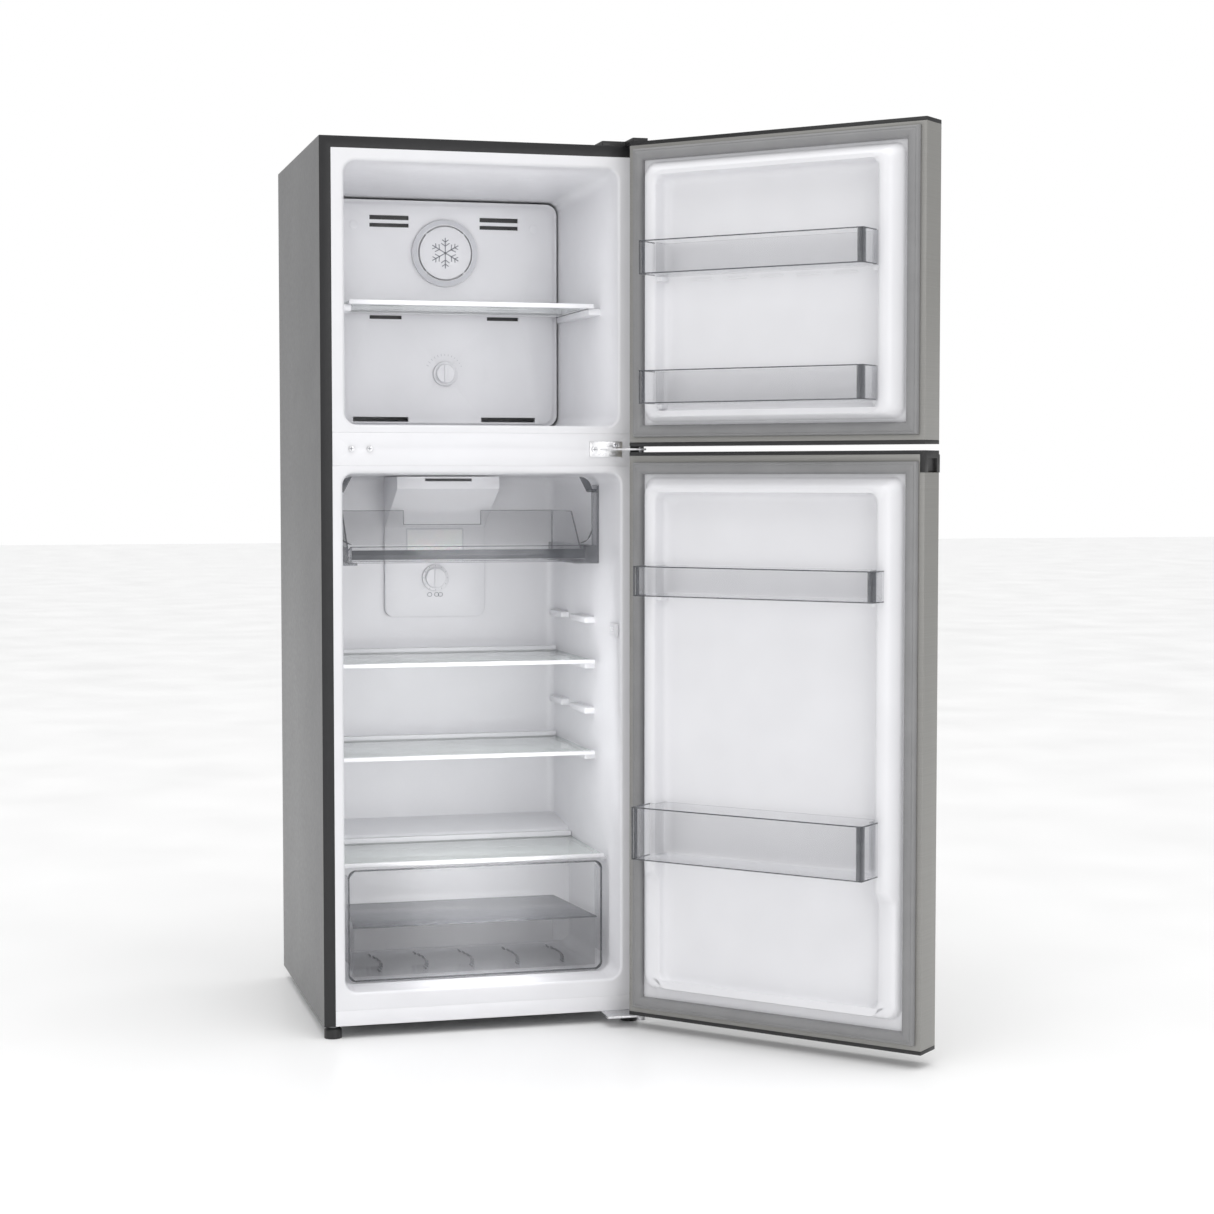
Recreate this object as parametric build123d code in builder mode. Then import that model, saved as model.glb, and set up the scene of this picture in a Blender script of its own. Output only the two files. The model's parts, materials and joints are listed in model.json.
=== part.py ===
from build123d import *
from math import cos, radians, sin
import os

# Top freezer refrigerator: cabinet, two doors, shelves, drawers, bins and cooling parts.
# The origin is on the floor at the centre of the cabinet's footprint, +Z up, -Y towards the user.
# The doors are modelled closed and then swung open about their hinge pins.

os.makedirs("parts", exist_ok=True)

# ---------------------------------------------------------------- driving dimensions, mm
width = 540
depth = 521
cabinet_top = 1475
foot_height = 21
sheet = 1.0                 # painted steel sheet
liner_wall = 2.0            # thermoformed liner
frame_width = 19            # dark trim round the cabinet's front
running_gap = 0.3           # between pieces that move past each other
pin_clearance = 0.06        # radial, round every pin and shaft

# cabinet front, heights above the floor
plinth_top = 46.5
fridge_opening = (76.0, 930.5)
crossrail = (942.5, 997.0)
freezer_opening = (1009.5, 1436.5)
freezer_half_width = 230.0
fridge_half_width = 234.5
freezer_liner_depth = 430.0
fridge_liner_depth = 440.0
freezer_taper = (26.0, 3.5, 24.5)    # how far the side, floor and ceiling move in at the rear
fridge_taper = (9.5, 4.0, 4.5)
liner_corner = 20.0

# machine compartment and the step it makes in the fridge liner
niche_front = 372.0
niche_height = 255.0
step_front = 330.0
step_heights = (286.0, 302.0)

# doors
door_thickness = 55.0
door_gap = 12.0                      # from the cabinet's flange to the door's inner face
door_inset = 2.5                     # the door's edges stop this short of the cabinet's sides
hinge_inset = 7.5                    # from the door's edge in to the hinge pin
hinge_forward = 37.5                 # from the cabinet's flange forward to the hinge pin
door_rest_angle = 132.5              # how far both doors stand open
pin_radius = 4.0
bush_radius = 6.2
freezer_door_heights = (975.3, 1474.5)
fridge_door_heights = (24.0, 965.4)
cap_height = 6.0
corner_radius = 4.0                  # the door skin's front edges
gasket_thickness = 11.5
gasket_width = 19.5
dyke_height = 32.0
dyke_overlap = 4.5                   # the dyke's foot is this much wider than the narrower cavity
gasket_clearance = 3.5               # the dyke's foot to the gasket
dyke_slope = 15.0                    # how far the dyke's outer face leans in at the sides
dyke_low_slope = 8.0                 # the same at the bottom
dyke_high_slope = 15.0               # the same at the top
dyke_rim_width = 34.5                # the dyke's foot to the pocket's edge
freezer_dyke = (1015.0, 1438.0)
fridge_dyke = (75.5, 924.0)
freezer_seal = (1009.5, 1442.5)      # the heights between which the gasket frames the liner
fridge_seal = (58.3, 929.0)
pocket_ends = (14.0, 24.0)           # dyke edge to pocket edge, at the bottom and at the top
low_dyke = (16.0, 279.0)             # the fridge door's dyke is this high up to this height
grip_height = 28.1
dyke_corner = 18.0
pocket_corner = 16.0

# freezer interior, distances from the flange back and heights above the floor
cover_face = 331.0
cover_thickness = 3.5
cover_panel = (1020.0, 1405.0)
cover_clearance = 24.0               # freezer's front half width to the cover's half width
cover_rim = 9.0                      # the cover's edge to its raised panel
fan_height = 1321.0
fan_radius = 40.0
freezer_knob_height = 1108.0
freezer_knob_radius = 21.5
freezer_shelf_level = 1212.0
freezer_shelf = (82.0, 325.0)
freezer_shelf_clearance = 21.0       # freezer's front half width to the shelf's half width

# fridge interior
shelf_level = 443.0
shelf_pitch = 79.5
shelf = (123.0, 420.0)
shelf_clearance = 12.5               # fridge's front half width to the half width of a shelf
shelf_thickness = 5.0
crisper_shelf_level = 270.3
crisper_shelf = (75.0, 326.0)
crisper_shelf_clearance = 8.5
duct_half_width = 92.0
duct_bottom = 670.0
duct_face = 431.0
duct_overhang = (300.0, 903.5, 833.0)
duct_top = 925.5
knob_height = 740.7
knob_radius = 24.0
crisper_front = 65.0
crisper_rear = 290.0
crisper_heights = (79.0, 268.0)
crisper_bin_top = 169.0
crisper_clearance = 15.0             # the same for the crisper's front
crisper_bin_inset = (8.5, 31.5)      # crisper front to its bin, at the bin's front and rear
chiller_front = 118.0
chiller_rear = 360.0
chiller_floor = 779.0
chiller_lip = 807.5
chiller_wall_top = 865.0
chiller_clearance = 30.0             # the same for the chiller tray
flap_pivot = (139.0, 901.0)
flap_heights = (810.0, 925.0)
flap_clearance = 14.5                # the same for the chiller's flap
clear_wall = 2.5                     # clear plastic drawers and bins
bin_wall = 2.2

# feet, rollers and machinery
foot_radius = 14.5
foot_centre = (253.5, 16.0)
roller_radius = 10.0
roller_centre = (200.0, 480.0)

# ---------------------------------------------------------------- derived sizes
front = -depth / 2
half_width = width / 2
inner_half_width = half_width - sheet
flange_half_width = half_width - frame_width
door_half_width = half_width - door_inset
pivot_x = door_half_width - hinge_inset
pivot_y = front - hinge_forward
hinge_axis = Axis((pivot_x, pivot_y, 0), (0, 0, 1))
shelf_levels = [shelf_level + n * shelf_pitch for n in range(4)]
dyke_half_width = min(freezer_half_width, fridge_half_width) + dyke_overlap
dyke_pocket_half_width = dyke_half_width - dyke_rim_width
gasket_inner_half = dyke_half_width + gasket_clearance
cover_half_width = freezer_half_width - cover_clearance
freezer_shelf_half_width = freezer_half_width - freezer_shelf_clearance
shelf_half_width = fridge_half_width - shelf_clearance
crisper_shelf_half_width = fridge_half_width - crisper_shelf_clearance
crisper_half_width = fridge_half_width - crisper_clearance
crisper_bin_half_widths = [crisper_half_width - inset for inset in crisper_bin_inset]
chiller_half_width = fridge_half_width - chiller_clearance
flap_half_width = fridge_half_width - flap_clearance


# ---------------------------------------------------------------- helpers
def facing(distance):
    """A plane parallel to the cabinet's front, this far behind the flange."""
    return Plane.XZ.offset(-(front + distance))


def block(x, y, z, mode=Mode.ADD):
    """A box between pairs of planes; y is measured from the flange plane towards the back."""
    with Locations(((x[0] + x[1]) / 2, front + (y[0] + y[1]) / 2, (z[0] + z[1]) / 2)):
        Box(x[1] - x[0], y[1] - y[0], z[1] - z[0], mode=mode)


def both_sides(x, y, z, mode=Mode.ADD):
    """The same box on the left and on the right."""
    block(x, y, z, mode)
    block((-x[1], -x[0]), y, z, mode)


def rod(at, along, radius, length, mode=Mode.ADD):
    """A cylinder from a point (x, distance behind the flange, z) along a direction."""
    start = Plane((at[0], front + at[1], at[2]), z_dir=along)
    with BuildSketch(start) as disc:
        Circle(radius)
    extrude(disc.sketch, amount=length, mode=mode)


def rounded_outline(distance, half, z, radius):
    """A rounded rectangle parallel to the cabinet's front."""
    with BuildSketch(facing(distance)) as outline:
        with Locations((0, (z[0] + z[1]) / 2)):
            RectangleRounded(2 * half, z[1] - z[0], radius)
    return outline.sketch


def rounded_slab(y, half, z, radius, mode=Mode.ADD):
    """A slab with rounded corners between two distances behind the flange."""
    extrude(rounded_outline(y[0], half, z, radius), amount=-(y[1] - y[0]), mode=mode)


def rounded_taper(y, halves, z_near, z_far, radius, mode=Mode.ADD):
    """A ruled body between two rounded rectangles."""
    near = rounded_outline(y[0], halves[0], z_near, radius)
    far = rounded_outline(y[1], halves[1], z_far, radius)
    loft([near.face(), far.face()], ruled=True, mode=mode)


def write(piece, name):
    """Labels a finished piece and writes it."""
    piece.part.label = name
    export_step(piece.part, f"parts/{name}.step")


def write_on_door(piece, name):
    """Swings a finished door piece open about the hinge pins and writes it."""
    piece.part = piece.part.rotate(hinge_axis, door_rest_angle)
    write(piece, name)


# ---------------------------------------------------------------- liners
class Cavity:
    """A compartment that narrows towards the back."""

    def __init__(self, half, z, length, taper):
        self.half, self.z, self.length, self.taper = half, z, length, taper

    def wall(self, distance):
        """Half the inside width at a distance behind the flange."""
        return self.half - self.taper[0] * distance / self.length

    def body(self, grow, mode=Mode.ADD):
        """The inside of the compartment, grown outwards by a wall."""
        low, high = self.z
        side, floor, ceiling = self.taper
        rounded_taper((0, self.length + grow), (self.half + grow, self.half - side + grow),
                      (low - grow, high + grow), (low + floor - grow, high - ceiling + grow),
                      liner_corner + grow, mode)

    def ledges(self, inner, y, z, reach=liner_wall / 2):
        """A ledge along each side wall, from inner out to this far into the wall."""
        near, far = self.wall(y[0]) + reach, self.wall(y[1]) + reach
        for side in (1, -1):
            with BuildSketch(Plane.XY.offset(z[0])) as plan:
                with BuildLine():
                    Polyline((side * inner, front + y[0]), (side * near, front + y[0]),
                             (side * far, front + y[1]), (side * inner, front + y[1]), close=True)
                make_face()
            extrude(plan.sketch, amount=z[1] - z[0], mode=Mode.ADD)


freezer = Cavity(freezer_half_width, freezer_opening, freezer_liner_depth, freezer_taper)
fridge = Cavity(fridge_half_width, fridge_opening, fridge_liner_depth, fridge_taper)


def step_profile(inset):
    """The raised step over the machine compartment, shrunk by a wall."""
    face = step_front + inset
    rear = fridge_liner_depth + 2 * liner_wall
    slope = (step_heights[1] - step_heights[0]) / (rear - step_front)
    with BuildSketch(Plane.YZ) as side:
        with BuildLine():
            Polyline((front + face, 0), (front + rear, 0), (front + rear, step_heights[1] - inset),
                     (front + face, step_heights[0] + slope * inset - inset), close=True)
        make_face()
    return side.sketch


with BuildPart() as freezer_outside:
    freezer.body(liner_wall)

with BuildPart() as fridge_outside:
    fridge.body(liner_wall)
    extrude(step_profile(liner_wall), amount=width, both=True, mode=Mode.SUBTRACT)

with BuildPart() as fridge_inside:
    fridge.body(0)
    extrude(step_profile(0), amount=width, both=True, mode=Mode.SUBTRACT)

# the light switch passes through the liner's right wall
switch_centre = (34.0, 666.0)
switch_body = (44.0, 18.0)
switch_inner = fridge.wall(switch_centre[0]) - 2.0
switch_depth = 28.0


def switch_space(clearance, mode):
    """The pocket for the switch's body."""
    y, z = switch_centre
    reach = clearance + switch_body[0] / 2
    tall = clearance + switch_body[1] / 2
    block((switch_inner, switch_inner + switch_depth + clearance),
          (y - reach, y + reach), (z - tall, z + tall), mode)


ledge_drop = 12.0
shelf_ledge_inner = shelf_half_width - 10.0
crisper_ledge_inner = crisper_shelf_half_width - 5.0
freezer_ledge_inner = freezer_shelf_half_width - 6.0

with BuildPart() as freezer_liner:
    block((-flange_half_width, flange_half_width), (0, liner_wall),
          (crossrail[1], cabinet_top - frame_width))
    add(freezer_outside.part)
    freezer.body(0, Mode.SUBTRACT)
    freezer.ledges(freezer_ledge_inner, (95, freezer_shelf[1]),
                   (freezer_shelf_level - running_gap - ledge_drop, freezer_shelf_level - running_gap))
write(freezer_liner, "freezer_liner")

with BuildPart() as fridge_liner:
    block((-flange_half_width, flange_half_width), (0, liner_wall), (plinth_top, crossrail[0]))
    add(fridge_outside.part)
    add(fridge_inside.part, mode=Mode.SUBTRACT)
    for level in shelf_levels:
        rest = level - running_gap
        fridge.ledges(shelf_ledge_inner, (159, 267), (rest - ledge_drop, rest))
        fridge.ledges(shelf_ledge_inner, (330, 420), (rest - ledge_drop, rest))
        fridge.ledges(shelf_half_width - 20, (shelf[1] + 2, fridge_liner_depth + 1), (rest - 4, rest + 37))
    fridge.ledges(crisper_ledge_inner, (crisper_shelf[0] + 10, crisper_shelf[1]),
                  (crisper_shelf_level - 6, crisper_shelf_level))
    switch_space(0, Mode.SUBTRACT)
write(fridge_liner, "fridge_liner")

# ---------------------------------------------------------------- cabinet
with BuildPart() as front_frame:
    block((-half_width, half_width), (0, liner_wall), (foot_height, cabinet_top))
    block((-flange_half_width, flange_half_width), (0, liner_wall),
          (foot_height, cabinet_top - frame_width), Mode.SUBTRACT)
write(front_frame, "front_frame")

with BuildPart() as outer_shell:
    block((-half_width, half_width), (liner_wall, depth), (foot_height, cabinet_top))
    block((-inner_half_width, inner_half_width), (liner_wall, depth),
          (foot_height, cabinet_top - sheet), Mode.SUBTRACT)
write(outer_shell, "outer_shell")

with BuildPart() as back_panel:
    block((-inner_half_width, inner_half_width), (depth - sheet, depth),
          (niche_height + sheet, cabinet_top - sheet))
    for n in range(11):
        rib = niche_height + 90 + 100 * n
        block((-180, 180), (depth, depth + 1.5), (rib, rib + 12))
write(back_panel, "back_panel")

pan_top = foot_height + sheet
foot_boss_drop = 3.5
stem_radius = 4.0
foot_spots = [(side * foot_centre[0], foot_centre[1]) for side in (1, -1)]
axle_radius = 3.0
roller_width = 16.0
with BuildPart() as base_pan:
    block((-inner_half_width, inner_half_width), (liner_wall, depth), (foot_height, pan_top))
    block((-inner_half_width, inner_half_width), (niche_front - sheet, niche_front),
          (foot_height, niche_height + sheet))
    block((-inner_half_width, inner_half_width), (niche_front - sheet, depth),
          (niche_height, niche_height + sheet))
    rod((-foot_centre[0], foot_centre[1], foot_height - foot_boss_drop), (0, 0, 1), 9, foot_boss_drop)
    for x, y in foot_spots:
        rod((x, y, 0), (0, 0, 1), stem_radius + pin_clearance, 2 * foot_height, Mode.SUBTRACT)
    for side in (1, -1):
        middle, axle_y = side * roller_centre[0], roller_centre[1]
        for cheek in (roller_width / 2 + 1, -roller_width / 2 - 3):
            block((middle + cheek, middle + cheek + 2), (axle_y - 7, axle_y + 7), (6, foot_height))
        block((middle - roller_width / 2 - 1, middle + roller_width / 2 + 1), (axle_y - 14, axle_y + 14),
              (foot_height - 1, pan_top + 1), Mode.SUBTRACT)
        rod((middle - roller_width / 2 - 4, axle_y, roller_radius), (1, 0, 0), axle_radius, roller_width + 8)
write(base_pan, "base_pan")

with BuildPart() as insulation_foam:
    block((-inner_half_width, inner_half_width), (liner_wall, depth - sheet),
          (pan_top, cabinet_top - sheet))
    add(freezer_outside.part, mode=Mode.SUBTRACT)
    add(fridge_outside.part, mode=Mode.SUBTRACT)
    block((-half_width, half_width), (niche_front - sheet, depth), (0, niche_height + sheet), Mode.SUBTRACT)
    for x, y in foot_spots:
        rod((x, y, foot_height), (0, 0, 1), 7, 14, Mode.SUBTRACT)
    switch_space(0.5, Mode.SUBTRACT)
write(insulation_foam, "insulation_foam")

rail_middle = 970.5
cover_screw_spots = [(-220.0, rail_middle), (-190.0, rail_middle)]
hinge_screw_spots = [(188.4, rail_middle), (224.0, rail_middle + 8)]
mid_plate = ((180.0, 236.0), (958.0, 984.0))
plate_thickness = 2.0
screw_radius = 2.5
screw_head = 5.0
with BuildPart() as crossrail_cover:
    block((-flange_half_width, flange_half_width), (0, liner_wall), crossrail)
    for x, z in cover_screw_spots + hinge_screw_spots:
        rod((x, 0, z), (0, 1, 0), screw_radius, liner_wall, Mode.SUBTRACT)
write(crossrail_cover, "crossrail_cover")

with BuildPart() as plinth:
    block((-flange_half_width, flange_half_width), (0, liner_wall), (foot_height, plinth_top))
write(plinth, "plinth")

# ---------------------------------------------------------------- hinges
plate = 3.0
pin_engagement = 14.0
top_plate_left = 205.0
top_plate_back = 70.0
with BuildPart() as top_hinge:
    block((top_plate_left, pivot_x + 6), (4, top_plate_back), (cabinet_top, cabinet_top + plate))
    block((pivot_x - 16, pivot_x + 6), (-hinge_forward - 8, 4), (cabinet_top, cabinet_top + plate))
    rod((pivot_x, -hinge_forward, freezer_door_heights[1] - pin_engagement), (0, 0, 1),
        pin_radius, pin_engagement + 2)
write(top_hinge, "top_hinge")

cover_wall = 1.5
cover_top = cabinet_top + plate + 4.5
cover_back_reach = top_plate_back + 2
with BuildPart() as top_hinge_cover:
    block((top_plate_left - 2, pivot_x + 8), (2, cover_back_reach), (cabinet_top, cover_top))
    block((pivot_x - 18, pivot_x + 8), (-hinge_forward - 10, 2), (cabinet_top, cover_top))
    fillet(top_hinge_cover.edges().filter_by(Axis.Z), 2)
    block((top_plate_left - 2 + cover_wall, pivot_x + 8 - cover_wall),
          (2 + cover_wall, cover_back_reach - cover_wall),
          (cabinet_top, cover_top - cover_wall), Mode.SUBTRACT)
    block((pivot_x - 18 + cover_wall, pivot_x + 8 - cover_wall), (-hinge_forward - 10 + cover_wall, 6),
          (cabinet_top, cover_top - cover_wall), Mode.SUBTRACT)
write(top_hinge_cover, "top_hinge_cover")

door_gap_middle = (freezer_door_heights[0] + fridge_door_heights[1]) / 2
with BuildPart() as mid_hinge:
    block(mid_plate[0], (-plate_thickness, 0), mid_plate[1])
    for x, z in hinge_screw_spots:
        rod((x, -plate_thickness, z), (0, 1, 0), screw_radius, plate_thickness, Mode.SUBTRACT)
    with BuildSketch(Plane.XY.offset(door_gap_middle - plate / 2)) as arm:
        with BuildLine():
            Polyline((mid_plate[0][1] - 40, front), (mid_plate[0][1], front), (pivot_x + 6, pivot_y + 8),
                     (pivot_x + 6, pivot_y - 7), (pivot_x - 12, pivot_y - 7), close=True)
        make_face()
    extrude(amount=plate)
    rod((pivot_x, -hinge_forward, fridge_door_heights[1] - pin_engagement), (0, 0, 1), pin_radius,
        freezer_door_heights[0] - fridge_door_heights[1] + 2 * pin_engagement)
write(mid_hinge, "mid_hinge")

with BuildPart() as bottom_hinge:
    block((200, pivot_x + 8), (-hinge_forward - 8, 70), (foot_height - foot_boss_drop, foot_height))
    rod((*foot_spots[0], 0), (0, 0, 1), stem_radius + pin_clearance, 2 * foot_height, Mode.SUBTRACT)
    rod((pivot_x, -hinge_forward, foot_height - 5), (0, 0, 1), pin_radius,
        fridge_door_heights[0] - foot_height + 5 + pin_engagement)
    rod((pivot_x, -hinge_forward, foot_height - foot_boss_drop - 6), (0, 0, 1), 7, 6)
write(bottom_hinge, "bottom_hinge")

with BuildPart() as cabinet_screws:
    for spots, seat in ((cover_screw_spots, 0), (hinge_screw_spots, -plate_thickness)):
        for x, z in spots:
            rod((x, seat, z), (0, -1, 0), screw_head, 2.2)
            rod((x, seat, z), (0, 1, 0), screw_radius - 0.05, liner_wall - seat)
write(cabinet_screws, "cabinet_screws")

# ---------------------------------------------------------------- feet and rollers
for name, (x, y) in zip(("right_foot", "left_foot"), foot_spots):
    with BuildPart() as foot:
        pad = foot_height - foot_boss_drop - running_gap
        rod((x, y, 0), (0, 0, 1), foot_radius, pad)
        chamfer(foot.edges().group_by(Axis.Z)[-1], 3)
        rod((x, y, pad), (0, 0, 1), stem_radius, foot_height + 8 - pad)
    write(foot, name)

for name, side in (("right_roller", 1), ("left_roller", -1)):
    start = side * roller_centre[0] - roller_width / 2
    with BuildPart() as roller:
        rod((start, roller_centre[1], roller_radius), (1, 0, 0), roller_radius, roller_width)
        fillet(roller.edges(), 1.5)
        rod((start, roller_centre[1], roller_radius), (1, 0, 0),
            axle_radius + pin_clearance, roller_width, Mode.SUBTRACT)
    write(roller, name)

# ---------------------------------------------------------------- machine compartment
compressor_x = -90.0
compressor_y = 448.0
mount_height = 14.0
mount_spots = [(compressor_x + dx, compressor_y + dy) for dx in (-70, 70) for dy in (-38, 38)]
with BuildPart() as compressor:
    rod((compressor_x, compressor_y, pan_top + mount_height + 3), (0, 0, 1), 62, 105)
    fillet(compressor.edges().group_by(Axis.Z)[-1], 34)
    block((compressor_x - 85, compressor_x + 85), (compressor_y - 50, compressor_y + 50),
          (pan_top + mount_height, pan_top + mount_height + 3))
    for x, y in mount_spots:
        rod((x, y, pan_top), (0, 0, 1), 9, mount_height + 8)
write(compressor, "compressor")

drip_x = (-190.0, 10.0)
drip_y = (385.0, 510.0)
drip_z = (182.0, 208.0)
drip_wall = 2.0
with BuildPart() as drip_tray:
    block(drip_x, drip_y, drip_z)
    block((drip_x[0] + drip_wall, drip_x[1] - drip_wall), (drip_y[0] + drip_wall, drip_y[1] - drip_wall),
          (drip_z[0] + drip_wall, drip_z[1]), Mode.SUBTRACT)
    for x in (drip_x[0], drip_x[1] - drip_wall):
        block((x, x + drip_wall), (430, 460), (drip_z[1] - 6, niche_height))
write(drip_tray, "drip_tray")

coil_pitch = 22.0
coil_rows = 8
coil_x = (75.0, 235.0)
coil_points = []
for row in range(coil_rows):
    ends = coil_x if row % 2 == 0 else coil_x[::-1]
    for x in ends:
        coil_points.append((x, front + 480, 45 + coil_pitch * row))
with BuildPart() as condenser:
    with BuildLine() as coil:
        FilletPolyline(*coil_points, radius=coil_pitch / 2 - 0.5)
    with BuildSketch(Plane(coil.line @ 0, z_dir=coil.line % 0)):
        Circle(3)
    sweep()
    for x in (coil_x[0] + 35, coil_x[1] - 35):
        block((x, x + 2), (474, 486), (pan_top, 45 + coil_pitch * (coil_rows - 1) + 6))
write(condenser, "condenser")

with BuildPart() as cord_gland:
    rod((245, 495, pan_top), (0, 0, 1), 11, 14)
    rod((245, 495, pan_top), (0, 0, 1), 4, 14, Mode.SUBTRACT)
write(cord_gland, "cord_gland")

# ---------------------------------------------------------------- freezer interior
cover_back = cover_face + 4 + cover_thickness
vent_rows = ((64.0, 134.0, 1378.0, 1386.0), (64.0, 134.0, 1365.0, 1372.0),
             (77.0, 134.5, 1222.0, 1227.5), (77.0, 134.5, 1203.5, 1210.0))
return_slots = (1022.5, 1031.0)
screw_cap = (162.5, 1368.0)
with BuildPart() as evaporator_cover:
    rounded_slab((cover_face + 4, cover_back), cover_half_width, (1016, 1413), liner_corner)
    rounded_slab((cover_face, cover_face + 4), cover_half_width - cover_rim, cover_panel, liner_corner)
    rounded_slab((cover_face + 3, cover_face + 4), cover_half_width - cover_rim - 3,
                 (cover_panel[0] + 3, cover_panel[1] - 3), liner_corner - 3)
    for side in (1, -1):
        rod((side * screw_cap[0], cover_back, screw_cap[1]), (0, 1, 0), 7, freezer_liner_depth - cover_back)
        for x0, x1, z0, z1 in vent_rows:
            x = sorted((side * x0, side * x1))
            block(x, (cover_face, cover_back), (z0, z1), Mode.SUBTRACT)
        block(sorted((side * 66, side * 165)), (cover_face, cover_back), return_slots, Mode.SUBTRACT)
    rod((0, cover_face, fan_height), (0, 1, 0), fan_radius + 4, 10, Mode.SUBTRACT)
    rod((0, cover_face, freezer_knob_height), (0, 1, 0), 5 + pin_clearance, 10, Mode.SUBTRACT)
write(evaporator_cover, "evaporator_cover")

guard_disc = 46.0
guard_rim = (49.0, 59.0)
with BuildPart() as fan_guard:
    rod((0, cover_face, fan_height), (0, -1, 0), guard_rim[1], 8)
    fillet(fan_guard.edges().group_by(Axis.Y)[0], 2)
    rod((0, cover_face, fan_height), (0, -1, 0), guard_rim[0], 8, Mode.SUBTRACT)
    rod((0, cover_face - 4, fan_height), (0, -1, 0), guard_disc, 5)
    for angle in (45, 135):
        dx, dz = cos(radians(angle)), sin(radians(angle))
        end = guard_rim[0] + 2
        spoke = Plane((-end * dx, front + cover_face - 4, fan_height - end * dz), z_dir=(dx, 0, dz))
        with BuildSketch(spoke) as bar:
            Rectangle(4, 4)
        extrude(bar.sketch, amount=2 * end)
write(fan_guard, "fan_guard")

blade_y = (cover_back + 4, cover_back + 20)
shaft_radius = 2.0
with BuildPart() as fan_blade:
    rod((0, blade_y[0], fan_height), (0, 1, 0), 13, blade_y[1] - blade_y[0])
    for n in range(5):
        angle = 72 * n + 90
        dx, dz = cos(radians(angle)), sin(radians(angle))
        root = Plane((10 * dx, front + (blade_y[0] + blade_y[1]) / 2, fan_height + 10 * dz),
                     x_dir=(0.78 * -dz, 0.62, 0.78 * dx), z_dir=(dx, 0, dz))
        with BuildSketch(root) as section:
            Rectangle(21, 1.6)
        extrude(section.sketch, amount=fan_radius - 12)
    rod((0, blade_y[1], fan_height), (0, 1, 0), shaft_radius, 12)
write(fan_blade, "fan_blade")

motor_y = (blade_y[1] + 2, blade_y[1] + 30)
with BuildPart() as fan_motor:
    rod((0, motor_y[0], fan_height), (0, 1, 0), 21, motor_y[1] - motor_y[0])
    for angle in (30, 150, 270):
        x, z = 52 * cos(radians(angle)), 52 * sin(radians(angle))
        arm = Plane((0, front + motor_y[0] + 6, fan_height), x_dir=(0, 1, 0),
                    z_dir=(cos(radians(angle)), 0, sin(radians(angle))))
        with BuildSketch(arm) as bar:
            Rectangle(6, 8)
        extrude(bar.sketch, amount=55)
        rod((x, cover_back, fan_height + z), (0, 1, 0), 4, motor_y[0] + 6 - cover_back)
    rod((0, motor_y[0], fan_height), (0, 1, 0), shaft_radius + pin_clearance, 14, Mode.SUBTRACT)
write(fan_motor, "fan_motor")

with BuildPart() as evaporator:
    for n in range(16):
        x = -150 + 20 * n
        block((x, x + 1), (350, 410), (1060, 1240))
    for z in (1080, 1120, 1160, 1200):
        for y in (365, 395):
            rod((-170, y, z), (1, 0, 0), 4, 340)
    for side in (1, -1):
        block(sorted((side * 150, side * 152)), (348, freezer_liner_depth), (1050, 1245))
write(evaporator, "evaporator")


def turning_knob(name, z, face, radius, grip, shaft, shaft_length):
    """A round dial with a grip bar, and a shaft through the panel behind it."""
    with BuildPart() as dial:
        rod((0, face - running_gap, z), (0, -1, 0), radius, 5)
        fillet(dial.edges().group_by(Axis.Y)[0], 1.5)
        rod((0, face - running_gap - 5, z), (0, -1, 0), radius * 0.78, 8)
        fillet(dial.edges().group_by(Axis.Y)[0], 2)
        block((-grip, grip), (face - running_gap - 16, face - running_gap - 13),
              (z - radius * 0.7, z + radius * 0.7))
        rod((0, face - running_gap, z), (0, 1, 0), shaft, shaft_length)
    write(dial, name)


turning_knob("freezer_knob", freezer_knob_height, cover_face, freezer_knob_radius, 3, 5, 14)


def sliding_shelf(name, y, half, level, front_trim, rear_trim):
    """A clear plate with a moulded front trim and rear strip."""
    top = level + shelf_thickness
    with BuildPart() as glass:
        block((-half, half), (y[0] + 3, y[1] - 3), (top - 4, top))
    write(glass, f"{name}_glass")
    with BuildPart() as trim:
        block((-half, half), (y[0], y[0] + front_trim[0]), (top - front_trim[1], top + 1.5))
        fillet(trim.edges().filter_by(Axis.X), 1.2)
        block((-half, half), (y[1] - rear_trim[0], y[1]), (level, top + rear_trim[1]))
        for side in (1, -1):
            block(sorted((side * half, side * (half - 6))), (y[0] + 2, y[1] - 2), (level, top - 4))
        block((-half - 1, half + 1), (y[0] + 3, y[1] - 3), (top - 4, top), Mode.SUBTRACT)
    write(trim, f"{name}_trim")


sliding_shelf("freezer_shelf", freezer_shelf, freezer_shelf_half_width, freezer_shelf_level, (12, 6), (14, 8))

# ---------------------------------------------------------------- fridge interior
sliding_shelf("upper_shelf", shelf, shelf_half_width, shelf_levels[2], (11, 5), (13, 7))
sliding_shelf("lower_shelf", shelf, shelf_half_width, shelf_levels[0], (11, 5), (13, 7))
sliding_shelf("crisper_shelf", crisper_shelf, crisper_shelf_half_width, crisper_shelf_level, (10, 5), (16, 8))


def duct_profile(inset):
    """The duct from the side: a flat panel whose top leans forward to a vent block."""
    reach, block_bottom, bend = duct_overhang
    with BuildSketch(Plane.YZ) as side:
        with BuildLine():
            Polyline((front + fridge_liner_depth, duct_bottom + inset),
                     (front + duct_face + inset, duct_bottom + inset),
                     (front + duct_face + inset, bend + inset),
                     (front + reach + inset, block_bottom + inset),
                     (front + reach + inset, duct_top - inset),
                     (front + fridge_liner_depth, duct_top - inset), close=True)
        make_face()
    return side.sketch


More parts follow.
